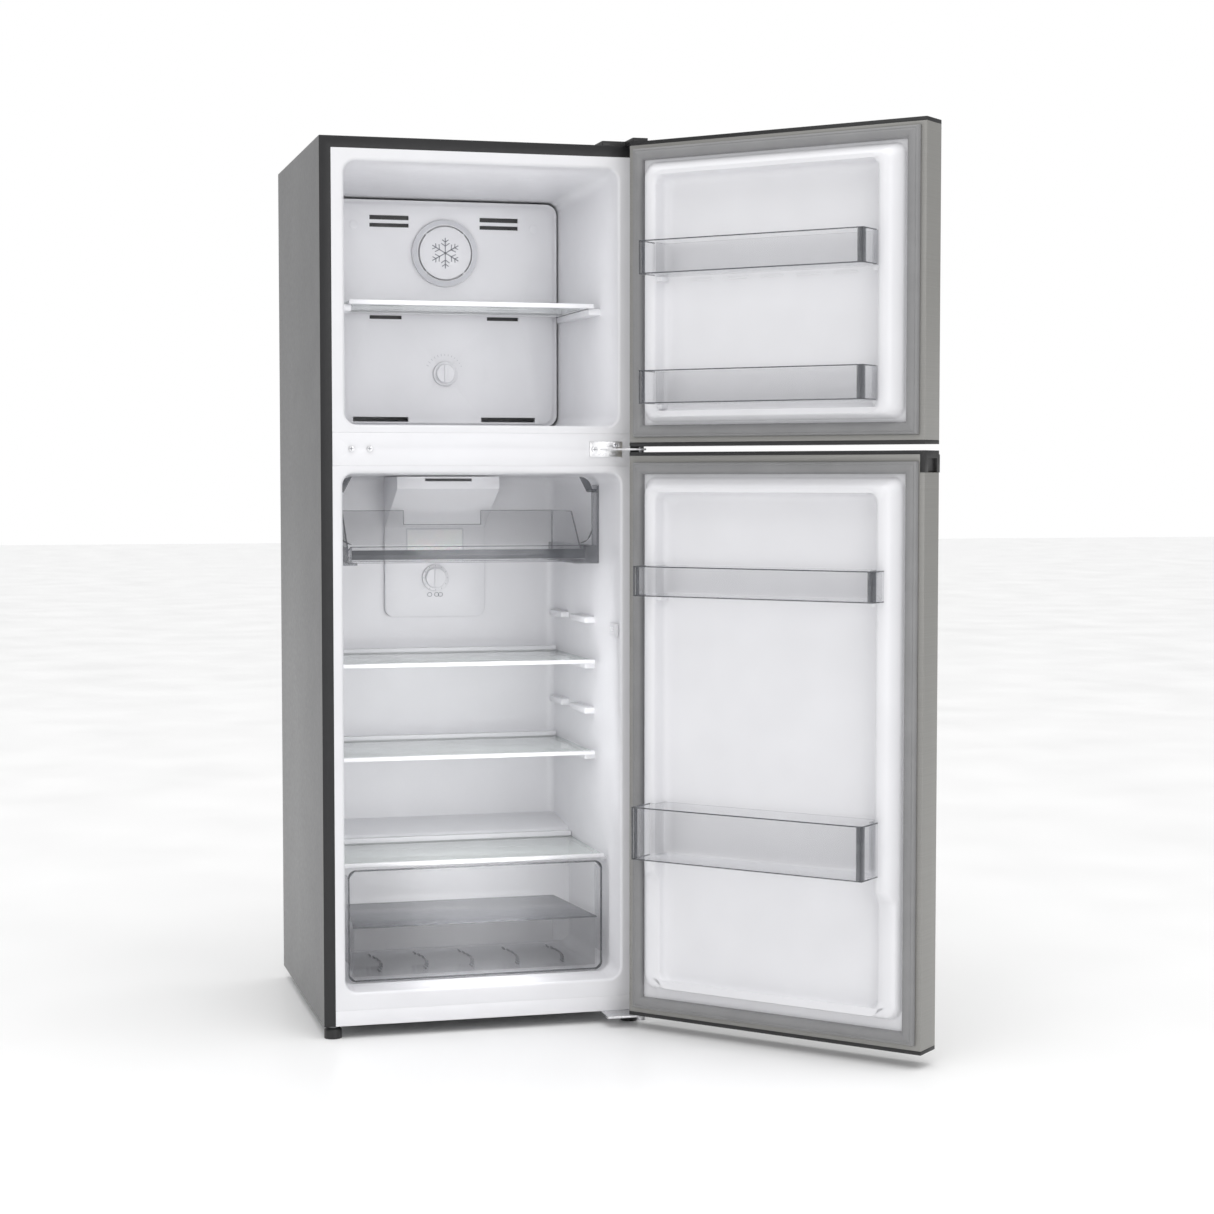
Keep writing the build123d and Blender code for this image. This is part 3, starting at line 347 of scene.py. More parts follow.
def first_outline(bm, outline, segments):
    """A rounded rectangle's edges, and for each vertex its corner and its place on the corner's arc."""
    half, (low, high), depth, radius = outline
    centre = Vector((0, FRONT + depth * MM, (low + high) / 2 * MM))
    size = Matrix.Diagonal((half * MM, (high - low) / 2 * MM, 1, 1))
    grid = bmesh.ops.create_grid(bm, x_segments=1, y_segments=1, size=1,
                                 matrix=Matrix.Translation(centre) @ FACE_USER @ size)
    rounded = bmesh.ops.bevel(bm, geom=grid["verts"], offset=radius * MM, offset_type="OFFSET",
                              segments=segments, profile=0.5, affect="VERTICES", material=-1)
    edges = {edge for vert in rounded["verts"] for edge in vert.link_edges}
    corners = {}
    for vert in {v for edge in edges for v in edge.verts}:
        side, upright = math.copysign(1, vert.co.x), math.copysign(1, vert.co.z - centre.z)
        arc = math.atan2(vert.co.z / MM - (low + high) / 2 - upright * ((high - low) / 2 - radius),
                         vert.co.x / MM - side * (half - radius))
        corners[vert] = (side, upright, (math.cos(arc), math.sin(arc)))
    bmesh.ops.delete(bm, geom=list({f for e in edges for f in e.link_faces}), context="FACES_ONLY")
    return list(edges), corners


def loft(bm, outlines, cap_first=False, cap_last=True, segments=8):
    """A skin through rounded rectangles, each (half width, (low, high), depth, corner radius) in mm."""
    edges, corners = first_outline(bm, outlines[0], segments)
    first = edges
    for outline in outlines[1:]:
        made = bmesh.ops.extrude_edge_only(bm, edges=edges)["geom"]
        drawn = {}
        for vert in (item for item in made if isinstance(item, bmesh.types.BMVert)):
            source = next(e.other_vert(vert) for e in vert.link_edges if e.other_vert(vert) in corners)
            drawn[vert] = corners[source]
            vert.co = outline_point(outline, *drawn[vert])
        edges = [item for item in made
                 if isinstance(item, bmesh.types.BMEdge) and set(item.verts) <= set(drawn)]
        corners = drawn
    for ends, wanted in ((first, cap_first), (edges, cap_last)):
        if wanted:
            made = bmesh.ops.contextual_create(bm, geom=ends)
            bmesh.ops.inset_region(bm, faces=made["faces"], thickness=3 * MM)


def round_over(radius, steps=4):
    """(sideways, down) from a rounded edge's two faces, from the side face over to the top face."""
    turns = [math.pi / 2 * n / steps for n in range(steps + 1)]
    return [(radius * (1 - math.cos(a)), radius * (1 - math.sin(a))) for a in turns]


def between(a, b, t):
    """The value, or the tuple of values, a share t of the way from a to b."""
    if isinstance(a, tuple):
        return tuple(between(p, q, t) for p, q in zip(a, b))
    return a + (b - a) * t


def cuboid(bm, x, depth, z, bevel=0.0, segments=2):
    """A box between pairs of planes in mm, depth measured behind the flange, with rounded edges."""
    low = Vector((x[0], depth[0], z[0])) * MM
    high = Vector((x[1], depth[1], z[1])) * MM
    centre = Matrix.Translation((low + high) / 2 + Vector((0, FRONT, 0)))
    cube = bmesh.ops.create_cube(bm, size=1, matrix=centre @ Matrix.Diagonal((*(high - low), 1)))
    if bevel:
        edges = {edge for vert in cube["verts"] for edge in vert.link_edges}
        bmesh.ops.bevel(bm, geom=list(edges), offset=bevel * MM, offset_type="OFFSET", segments=segments,
                        profile=0.5, affect="EDGES", material=-1)


def both_sides(bm, x, depth, z, bevel=0.0):
    """A box on the right-hand side, and its twin on the left."""
    for side in (1, -1):
        cuboid(bm, sorted((side * x[0], side * x[1])), depth, z, bevel)


def on_ring(centre, angle, radius, height=None):
    """The point (x, z) of a ring at an angle in degrees; an oval ring has its own half height."""
    turn = math.radians(angle)
    return (centre[0] + radius * math.cos(turn), centre[1] + (height or radius) * math.sin(turn))


def node_copy(node):
    """A frame node's mesh as a clean bmesh in the shared frame."""
    bm = bmesh.new()
    bm.from_mesh(NODES[node].data)
    bm.transform(NODES[node].matrix_world)
    bmesh.ops.remove_doubles(bm, verts=bm.verts, dist=0.01 * MM)
    return bm


def soften(bm, width, corner=35, segments=2, finish=-1):
    """Rounds every edge sharper than a corner, in degrees, by a width in mm; finish is a material index."""
    sharp = [e for e in bm.edges if len(e.link_faces) == 2 and e.calc_face_angle() > math.radians(corner)]
    bmesh.ops.bevel(bm, geom=sharp, offset=width * MM, offset_type="OFFSET", segments=segments, profile=0.5,
                    affect="EDGES", clamp_overlap=True, material=finish)


def span(node):
    """A node's extent in mm: (x, depth behind the flange, z), each a pair."""
    low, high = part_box(node)
    depth = ((low.y - FRONT) / MM, (high.y - FRONT) / MM)
    return (low.x / MM, high.x / MM), depth, (low.z / MM, high.z / MM)


# ------------------------------------------------------------------ settings
class RefrigeratorLinerSettings(bpy.types.PropertyGroup):
    """The cabinet's two liners"""
    lip: FloatProperty(name="Lip", description="Radius of the rounded lip round each opening, in mm",
                       default=5.0, min=1)
    rear_round: FloatProperty(name="Rear round", description="Radius between side and rear walls, in mm",
                              default=14.0, min=2)
    step_round: FloatProperty(name="Step round", description="Radius of the step over the machinery, in mm",
                              default=9.0, min=1)
    rest_round: FloatProperty(name="Rest round", description="Radius of the moulded shelf rests, in mm",
                              default=3.5, min=0.5)


class RefrigeratorDoorSettings(bpy.types.PropertyGroup):
    """The doors' liners and seals"""
    ridge_round: FloatProperty(name="Ridge round", description="Radius of the raised rim's outer edge, in mm",
                               default=9.0, min=1)
    pocket_round: FloatProperty(name="Pocket round", description="Radius of the recess's rim, in mm",
                                default=6.0, min=1)
    floor_round: FloatProperty(name="Floor round", default=13.0, min=1,
                               description="Radius where the recess meets its floor, in mm")
    low_rim: FloatProperty(name="Low rim", description="Share of the rim's height kept below the bottle bin",
                           default=0.5, min=0.1, max=1.0)


class RefrigeratorClearSettings(bpy.types.PropertyGroup):
    """Clear bins, drawers and trays"""
    edge: FloatProperty(name="Edge", description="Width of the rounded edges, in mm", default=0.9, min=0.1)
    rim_line: FloatProperty(name="Rim line", description="Width of the thick rims on the door bins, in mm",
                            default=1.8, min=0.5)
    rim_strip: FloatProperty(name="Rim strip", default=1.3, min=0.1,
                             description="Faces narrower than this read as a wall's cut edge, in mm")
    ribs: IntProperty(name="Floor ribs", description="Curved ribs moulded into the crisper's floor",
                      default=5, min=2)


class RefrigeratorSoftSettings(bpy.types.PropertyGroup):
    """Pressed and moulded parts, and the foam between them"""
    sheet_edge: FloatProperty(name="Sheet edge", description="Rounding of sheet metal edges, in mm",
                              default=0.7, min=0.1)
    moulded_edge: FloatProperty(name="Moulded edge", description="Rounding of moulded edges, in mm",
                                default=0.8, min=0.1)
    foam_shrink: FloatProperty(name="Foam shrink", default=2.0, min=0,
                               description="How far the foam has drawn back from its skins, in mm")


class RefrigeratorMarkSettings(bpy.types.PropertyGroup):
    """Marks and symbols"""
    snowflake: FloatProperty(name="Snowflake", description="Reach of the fan guard's snowflake, in mm",
                             default=27.0, min=1)
    ticks: IntProperty(name="Ticks", description="Marks above the freezer knob", default=13, min=2)
    band: FloatProperty(name="Band", description="Height of the chiller tray's dark band, in mm",
                        default=16.0, min=1)
    dial_ticks: IntProperty(name="Dial ticks", description="Marks round the thermostat knob",
                            default=12, min=2)


class RefrigeratorStageSettings(bpy.types.PropertyGroup):
    """Camera and light"""
    lens: FloatProperty(name="Lens", description="Focal length of the camera", default=70.87, min=20,
                        unit="CAMERA")
    camera_place: FloatVectorProperty(name="Camera place", description="Where the camera stands",
                                      default=(-0.8255, -4.1327, 0.9219), unit="LENGTH", size=3)
    camera_turn: FloatProperty(name="Camera turn", description="Turn of the camera to the right",
                               default=math.radians(14.98), unit="ROTATION")
    camera_tilt: FloatProperty(name="Camera tilt", description="Tilt of the camera below level",
                               default=math.radians(3.077), unit="ROTATION")
    floor_colour: FloatVectorProperty(name="Floor colour", description="Pale floor",
                                      default=srgb("#fafafa")[:3], subtype="COLOR", size=3)
    overhead: FloatProperty(name="Overhead", description="Strength of the broad light from above",
                            default=2.1, min=0)
    sky: FloatProperty(name="Sky", description="Strength of the even studio light", default=0.5, min=0)


SETTINGS = {
    "refrigerator_liners": RefrigeratorLinerSettings,
    "refrigerator_doors": RefrigeratorDoorSettings,
    "refrigerator_clear": RefrigeratorClearSettings,
    "refrigerator_soft": RefrigeratorSoftSettings,
    "refrigerator_marks": RefrigeratorMarkSettings,
    "refrigerator_stage": RefrigeratorStageSettings,
}


# ------------------------------------------------------------------ operators
class OBJECT_OT_refrigerator_finishes(bpy.types.Operator):
    """Makes every finish and gives each frame node its own"""
    bl_idname = "object.refrigerator_finishes"
    bl_label = "Finishes"

    def execute(self, context):
        FINISH.update(make_materials())
        for node, finish in FINISH_OF.items():
            NODES[node].data.materials.clear()
            NODES[node].data.materials.append(FINISH[finish])
        bare = set(NODES) - set(FINISH_OF)
        if bare:
            raise RuntimeError(f"no finish for {sorted(bare)}")
        return {"FINISHED"}


def cabinet_liner(bm, near, far, settings, flange):
    """A compartment's skin: flange, rounded lip, tapering walls, rounded rear corners and rear wall."""
    half, low, high, start = 0, 1, 2, 3
    lip, rear = settings.lip, settings.rear_round
    length = far[start] - near[start]

    def section(depth, grow, radius):
        """The compartment's outline at a depth, grown outwards."""
        place = between(near, far, depth / length)
        return (place[half] + grow, (place[low] - grow, place[high] + grow), depth, radius)

    rings = [(flange[0], flange[1], 2, 1.0), (flange[0], flange[1], 0, 1.0)]
    rings += [section(down, side, CAVITY_CORNER + side) for side, down in reversed(round_over(lip))]
    rings += [section(length * share, 0, CAVITY_CORNER) for share in (0.2, 0.45, 0.7)]
    rings += [section(length - down, -side, CAVITY_CORNER) for side, down in round_over(rear)]
    loft(bm, rings)


class OBJECT_OT_refrigerator_liners(bpy.types.Operator):
    """The two white liners of the cabinet, with lips, step and shelf rests"""
    bl_idname = "object.refrigerator_liners"
    bl_label = "Cabinet liners"

    def execute(self, context):
        settings = context.scene.refrigerator_liners
        for name, (near, far) in CAVITIES.items():
            x, _, z = span(name)
            bm = bmesh.new()
            cabinet_liner(bm, near, far, settings, (min(x[1], FLANGE_HALF), z))
            if name == "freezer_liner":
                both_sides(bm, (203, 232), (95, 325), FREEZER_REST, settings.rest_round)
            else:
                self.step(bm, settings.step_round)
                self.shelf_rests(bm, settings.rest_round)
            place_piece(f"{name}_skin", bm, "liner_hips", "cabinet", (name,))
        return {"FINISHED"}

    def step(self, bm, rounding):
        """The raised floor over the machine compartment, sloping up to the rear wall."""
        known = set(bm.verts)
        cuboid(bm, (-240, 240), (STEP_FRONT, STEP_REAR + 6), (60, STEP_TOP), rounding, 4)
        slope = STEP_RISE / (STEP_REAR - STEP_FRONT)
        for vert in set(bm.verts) - known:
            if vert.co.z > 200 * MM:
                vert.co.z += (vert.co.y - FRONT - STEP_FRONT * MM) * slope

    def shelf_rests(self, bm, rounding):
        """Moulded rests under each of the four shelf places, and the low ledge for the crisper shelf."""
        for n in range(SHELF_PLACES):
            level = SHELF_LEVEL + SHELF_PITCH * n
            for depth in ((159, 267), (330, 420)):
                both_sides(bm, (212, 238), depth, (level - REST_HEIGHT, level), rounding)
        both_sides(bm, (221, 238), (85, 326), CRISPER_LEDGE, rounding * 0.6)


def lower_rim(bm, keep):
    """Lowers the raised rim below the bottle bin, with a soft shoulder."""
    low, high, cuts = 257.0, 281.0, 6
    for n in range(cuts + 1):
        geom = [*bm.verts, *bm.edges, *bm.faces]
        bmesh.ops.bisect_plane(bm, geom=geom, plane_co=(0, 0, between(low, high, n / cuts) * MM),
                               plane_no=(0, 0, 1))
    face = FRONT + DOOR_FACE * MM
    outer_side, outer_foot = (RECESS_HALF + 3) * MM, (RIMS["fridge_door"][0] + 12.5) * MM
    for vert in bm.verts:
        share = min(1.0, max(0.0, (vert.co.z / MM - low) / (high - low)))
        share = share * share * (3 - 2 * share)
        if vert.co.y > face:
            sunk = (vert.co.y - face) * (1 - between(keep, 1.0, share))
            vert.co.y -= sunk
            if abs(vert.co.x) > outer_side:
                vert.co.x += math.copysign(sunk * RIM_LEAN / RIM_HEIGHT, vert.co.x)
            if vert.co.z < outer_foot:
                vert.co.z -= sunk * RIM_FOOT_LEAN / RIM_HEIGHT


class OBJECT_OT_refrigerator_door_liners(bpy.types.Operator):
    """The doors' white inner liners: a raised rim round a shallow recess"""
    bl_idname = "object.refrigerator_door_liners"
    bl_label = "Door liners"

    def execute(self, context):
        settings = context.scene.refrigerator_doors
        for door, heights in RIMS.items():
            node = f"{door}_liner"
            seal = span(f"{door}_gasket")[2]
            bm = bmesh.new()
            self.rim(bm, heights, (seal[0] + 5, seal[1] - 5), settings)
            if door == "fridge_door":
                lower_rim(bm, settings.low_rim)
            for (floor, _), _, _ in BINS[door].values():
                if door == "freezer_door":
                    self.dashes(bm, floor)
                both_sides(bm, (190, 203), (-9, 14), (floor - 8.3, floor - 0.3), 1.5)
            place_piece(f"{node}_skin", bm, "liner_hips", door, (node,), on_door=True)
        return {"FINISHED"}

    def dashes(self, bm, floor):
        """A row of five short raised bars just under a bin's floor."""
        for n in range(5):
            x = -130 + 65 * n
            cuboid(bm, (x - 21, x + 21), (-13, -10.6), (floor - 7.5, floor - 4.5), 0.8)

    def rim(self, bm, heights, border, settings):
        """Flat border, the rim's outer slope, its rounded ridge, the recess and its floor."""
        low, high = heights
        base = (RIM_HALF, low, high)
        top = (RIM_HALF - RIM_LEAN, low + RIM_FOOT_LEAN, high - RIM_LEAN)
        mouth = (RECESS_HALF, low + RECESS_FOOT, high - RECESS_HEAD)
        floor = (mouth[0] - RECESS_TAPER, mouth[1] + RECESS_TAPER, mouth[2] - RECESS_TAPER)

        def section(low_place, high_place, rise, grow, radius):
            """An outline of the rim at a rise above the door's inner face."""
            half, low, high = between(low_place, high_place, rise / RIM_HEIGHT)
            return (half + grow, (low - grow, high + grow), DOOR_FACE + rise, radius)

        over, under, seat = settings.ridge_round, settings.pocket_round, settings.floor_round
        rings = [(252.5, border, DOOR_FACE - 2, 1.0), (252.5, border, DOOR_FACE, 1.0),
                 section(base, top, 0, 2.0, 20), section(base, top, 0.9, 0.6, 19),
                 section(base, top, 2.4, 0, 18), section(base, top, 12, 0, 18)]
        rings += [section(base, top, RIM_HEIGHT - down, -side, 18 - side * 0.5)
                  for side, down in round_over(over)]
        rings += [section(floor, mouth, RIM_HEIGHT - down, side, 16 + side)
                  for side, down in reversed(round_over(under))]
        rings += [section(floor, mouth, down, -side, 16) for side, down in round_over(seat)]
        loft(bm, rings)


class OBJECT_OT_refrigerator_seals(bpy.types.Operator):
    """The doors' magnetic seals: a broad grey band with a soft lip and a draw groove"""
    bl_idname = "object.refrigerator_seals"
    bl_label = "Door seals"

    def execute(self, context):
        for door in ("freezer_door", "fridge_door"):
            node = f"{door}_gasket"
            z = span(node)[2]
            bm = bmesh.new()
            profile = ((0, 0), (0, 5), (1.2, 8), (3.5, 9.6), (5.0, 9.2), (5.8, 10.0), (8.5, 11.5),
                       (13.5, 11.5), (16.5, 10.4), (18.6, 8.2), (19.5, 5), (19.5, 0))
            rings = [(257.5 - inset, (z[0] + inset, z[1] - inset), DOOR_FACE + rise, 0.8)
                     for inset, rise in profile]
            loft(bm, [*rings, rings[0]], cap_last=False, segments=2)
            place_piece(f"{node}_section", bm, "seal", door, (node,), on_door=True)
        return {"FINISHED"}


class OBJECT_OT_refrigerator_soft_parts(bpy.types.Operator):
    """Sheet metal and moulded parts with small edge radii that catch the light, and the foam between them"""
    bl_idname = "object.refrigerator_soft_parts"
    bl_label = "Soft-edged parts"

    def execute(self, context):
        settings = context.scene.refrigerator_soft
        sheet = ("outer_shell", "front_frame", "crossrail_cover", "plinth", "mid_hinge", "top_hinge",
                 "bottom_hinge", "freezer_door_skin", "fridge_door_skin", "base_pan", "back_panel")
        moulded = ("top_hinge_cover", "freezer_door_caps", "fridge_door_caps", "left_foot", "right_foot",
                   "evaporator_cover", "air_duct", "freezer_knob", "thermostat_knob", "fan_guard",
                   "light_switch", "switch_plunger", "drip_tray", "compressor", "freezer_shelf_trim",
                   "upper_shelf_trim", "lower_shelf_trim", "crisper_shelf_trim", "freezer_shelf_glass",
                   "upper_shelf_glass", "lower_shelf_glass", "crisper_shelf_glass", "chiller_runners",
                   "cabinet_screws", "lamp_lens")
        steepest = 1.5
        for node in NODE_FINISH["foam"]:
            bm = node_copy(node)
            bm.normal_update()
            for vert in bm.verts:
                vert.co -= vert.normal * min(steepest, vert.calc_shell_factor()) * settings.foam_shrink * MM
            place_piece(f"{node}_core", bm, "foam", BODY_OF[node], (node,))
        for names, width in ((sheet, settings.sheet_edge), (moulded, settings.moulded_edge)):
            for node in names:
                bm = node_copy(node)
                soften(bm, width)
                place_piece(f"{node}_shape", bm, FINISH_OF[node], BODY_OF[node], (node,))
        return {"FINISHED"}


class OBJECT_OT_refrigerator_clear_parts(bpy.types.Operator):
    """Clear door bins, crisper drawer and lid, chiller tray and flap, their rounded edges and cut edges painted
    with dark edge shade
    """
    bl_idname = "object.refrigerator_clear_parts"
    bl_label = "Clear parts"

    def execute(self, context):
        settings = context.scene.refrigerator_clear
        for node in ("freezer_bin_upper", "freezer_bin_lower", "fridge_bin", "bottle_bin", "crisper_drawer",
                     "crisper_lid", "chiller_tray", "chiller_flap"):
            bm = node_copy(node)
            # rounded edges and narrow cut-edge faces take the dark finish: painted shade for the refraction seen
            # along clear edges
            soften(bm, settings.edge, finish=1)
            for face in bm.faces:
                if 2 * face.calc_area() < settings.rim_strip * MM * face.calc_perimeter():
                    face.material_index = 1
            piece = place_piece(f"{node}_shape", bm, FINISH_OF[node], BODY_OF[node], (node,))
            piece.data.materials.append(FINISH["clear_edge"])
        return {"FINISHED"}


def bar(bm, place, length, width, angle, depth):
    """A thin raised bar from a point (x, z) outwards at an angle, between two depths; all in mm."""
    turn = Matrix.Rotation(-math.radians(angle), 4, "Y")
    origin = Matrix.Translation(Vector((place[0], 0, place[1])) * MM)
    middle = Vector((length / 2, (depth[0] + depth[1]) / 2, 0)) * MM + Vector((0, FRONT, 0))
    size = Matrix.Diagonal((length * MM, (depth[1] - depth[0]) * MM, width * MM, 1))
    bmesh.ops.create_cube(bm, size=1, matrix=origin @ turn @ Matrix.Translation(middle) @ size)


def disc(bm, place, radius, depth, segments=40, rim=0.4):
    """A flat round button facing the user between two depths, its front edge rounded."""
    centre = Vector((place[0] * MM, FRONT + (depth[0] + depth[1]) / 2 * MM, place[1] * MM))
    made = bmesh.ops.create_cone(bm, cap_ends=True, segments=segments, radius1=radius * MM,
                                 radius2=radius * MM, depth=(depth[1] - depth[0]) * MM,
                                 matrix=Matrix.Translation(centre) @ FACE_USER)
    front = [e for v in made["verts"] for e in v.link_edges
             if all(abs(w.co.y - FRONT - depth[0] * MM) < 0.01 * MM for w in e.verts)]
    bmesh.ops.bevel(bm, geom=list(set(front)), offset=rim * MM, offset_type="OFFSET", segments=2, profile=0.5,
                    affect="EDGES", material=-1)


def snowflake(bm, centre, reach, depth):
    """Six arms with two pairs of barbs each."""
    for n in range(6):
        angle = 60 * n + 30
        bar(bm, centre, reach, reach * 0.07, angle, depth)
        for share, barb in ((0.45, 0.34), (0.72, 0.26)):
            at = on_ring(centre, angle, reach * share)
            for lean in (55, -55):
                bar(bm, at, reach * barb, reach * 0.06, angle + lean, depth)


class OBJECT_OT_refrigerator_freezer_marks(bpy.types.Operator):
    """Snowflake on the fan guard, marks above the freezer knob, screw caps, and black patches of painted shade
    behind the vents
    """
    bl_idname = "object.refrigerator_freezer_marks"
    bl_label = "Freezer marks"

    def execute(self, context):
        settings = context.scene.refrigerator_marks
        face = span("fan_guard")[1][0]
        fan = sum(span("fan_guard")[2]) / 2
        knob = sum(span("freezer_knob")[2]) / 2
        panel = span("evaporator_cover")[1][0]
        bm = bmesh.new()
        snowflake(bm, (0, fan), settings.snowflake, (face - 0.4, face + 0.5))
        place_piece("fan_guard_snowflake", bm, "mark", "cabinet")
        bm = bmesh.new()
        for n in range(settings.ticks):
            angle = 25 + 130 * n / (settings.ticks - 1)
            bar(bm, on_ring((0, knob), angle, 32), 2 + 3 * n / settings.ticks, 1.0, angle,
                (panel - 0.3, panel + 0.5))
        place_piece("freezer_knob_scale", bm, "soft_mark", "cabinet")
        bm = bmesh.new()
        for side in (1, -1):
            disc(bm, (side * 162.5, 1368), 8, (panel - 1.0, panel + 1), rim=0.6)
        place_piece("evaporator_cover_screw_caps", bm, "white_abs", "cabinet")
        # black patches just behind the vent slots: painted shade for the dark inside the cover
        bm = bmesh.new()
        for x, z in VENT_SHADE_PATCHES:
            both_sides(bm, x, (panel + 5, panel + 6), z)
        place_piece("evaporator_cover_vent_shade", bm, "black_abs", "cabinet")
        return {"FINISHED"}


class OBJECT_OT_refrigerator_fridge_marks(bpy.types.Operator):
    """Scale on the thermostat knob, symbol and lamp cover frame on the duct, painted shade in the rail's screw
    recesses
    """
    bl_idname = "object.refrigerator_fridge_marks"
    bl_label = "Fridge marks"

    def execute(self, context):
        settings = context.scene.refrigerator_marks
        knob = sum(span("thermostat_knob")[2]) / 2
        bm = bmesh.new()
        for n in range(settings.dial_ticks):
            angle = 360 * n / settings.dial_ticks
            bar(bm, on_ring((0, knob), angle, 21), 2.0, 0.7, angle, (DUCT_FACE - 5.6, DUCT_FACE - 5.0))
        place_piece("thermostat_knob_scale", bm, "mark", "thermostat_knob")
        bm = bmesh.new()
        for x in (-10, 3, 10):
            for n in range(12):
                angle = 30 * n
                bar(bm, on_ring((x, 710), angle, 4, 3.5), 2.1, 1.0, angle + 95,
                    (DUCT_FACE - 0.3, DUCT_FACE + 0.5))
        place_piece("duct_symbol", bm, "mark", "cabinet")
        bm = bmesh.new()
        low, high = LAMP_COVER_HEIGHTS
        frame_line = [(LAMP_COVER_HALF - inset, (low + inset, high - inset), DUCT_FACE + rise, 2.0)
                      for inset, rise in ((0, 0.3), (0, -0.6), (1.4, -0.6), (1.4, 0.3), (0, 0.3))]
        loft(bm, frame_line, cap_last=False, segments=3)
        place_piece("lamp_cover_line", bm, "soft_mark", "cabinet")
        # grey crosses on the rail's screw heads: painted shade where the cross recesses are
        bm = bmesh.new()
        for x, z, out in RAIL_SCREWS:
            for angle in (0, 90, 180, 270):
                bar(bm, (x, z), 3.0, 1.1, angle, (-2.5 - out, -1.8 - out))
        place_piece("screw_recess_shade", bm, "mark", "cabinet")
        return {"FINISHED"}


class OBJECT_OT_refrigerator_crisper_details(bpy.types.Operator):
    """Thick rim round the crisper's front panel and curved ribs in its floor, both in dark painted edge shade"""
    bl_idname = "object.refrigerator_crisper_details"
    bl_label = "Crisper details"

    def execute(self, context):
        settings = context.scene.refrigerator_clear
        x, (front, _), z = span("crisper_drawer")
        bm = bmesh.new()
        outline = [(x[1] - inset, (z[0] + inset, z[1] - inset), front + back, 14 - inset)
                   for inset, back in ((0.2, 0.4), (0.2, 4.5), (2.6, 4.5), (2.6, 0.4), (0.2, 0.4))]
        loft(bm, outline, cap_last=False)
        # the rim is painted shade for the dark edge of the clear front panel
        place_piece("crisper_front_rim", bm, "clear_edge", "crisper")
        bm = bmesh.new()
        floor, steps = z[0] + 7.5, 8
        for n in range(settings.ribs):
            middle = -160 + 320 * n / (settings.ribs - 1)
            for step in range(steps):
                share = step / steps
                y = between(front + 40, front + 190, share)
                x = middle + 14 * math.sin(math.pi * share)
                cuboid(bm, (x - 1.6, x + 1.6), (y, y + 19.5), (floor - 0.3, floor + 2.2), 0.8)
        # the ribs take the same painted edge shade
        place_piece("crisper_floor_ribs", bm, "clear_edge", "crisper")
        return {"FINISHED"}


class OBJECT_OT_refrigerator_bin_rims(bpy.types.Operator):
    """Thick rims round the mouth, foot and corners of each door bin, in dark painted edge shade"""
    bl_idname = "object.refrigerator_bin_rims"
    bl_label = "Bin rims"

    def execute(self, context):
        line = context.scene.refrigerator_clear.rim_line
        proud, bevel = 0.15, 0.4
        near = DOOR_FACE + RIM_HEIGHT + 1.5
        for node, ((low, high), half, reach) in (item for bins in BINS.values() for item in bins.items()):
            far = DOOR_FACE + reach
            side, front = (half - line, half + proud), (far - line, far + proud)
            bm = bmesh.new()
            for z in ((low - proud, low + line), (high - line, high + proud)):
                cuboid(bm, (-half - proud, half + proud), front, z, bevel)
                both_sides(bm, side, (near, far), z, bevel)
            both_sides(bm, side, front, (low, high), bevel)
            # the rims carry painted shade for the dark edge lines of the clear bins
            place_piece(f"{node}_rim", bm, "clear_edge", BODY_OF[node], on_door=True)
        return {"FINISHED"}


class OBJECT_OT_refrigerator_inserts(bpy.types.Operator):
    """Dark band of painted edge shade along the chiller tray's front and the grey ring round the fan guard"""
    bl_idname = "object.refrigerator_inserts"
    bl_label = "Inserts"

    def execute(self, context):
        settings = context.scene.refrigerator_marks
        x, (front, _), (low, _) = span("chiller_tray")
        bm = bmesh.new()
        cuboid(bm, (x[0] + 2, x[1] - 2), (front - 0.3, front + 0.8), (low + 6, low + 6 + settings.band), 0.3)
        # the band is painted edge shade on the clear tray
        place_piece("chiller_tray_band", bm, "clear_edge", "chiller_tray")
        ring, fan = span("fan_guard")[1][0] + 1, sum(span("fan_guard")[2]) / 2
        bm = bmesh.new()
        circles = [(radius, (fan - radius, fan + radius), ring + rise, radius - 0.01)
                   for radius, rise in ((58, 0.2), (58, -0.4), (50, -0.4), (50, 0.2), (58, 0.2))]
        loft(bm, circles, cap_last=False, segments=16)
        place_piece("fan_guard_ring", bm, "soft_mark", "cabinet")
        return {"FINISHED"}


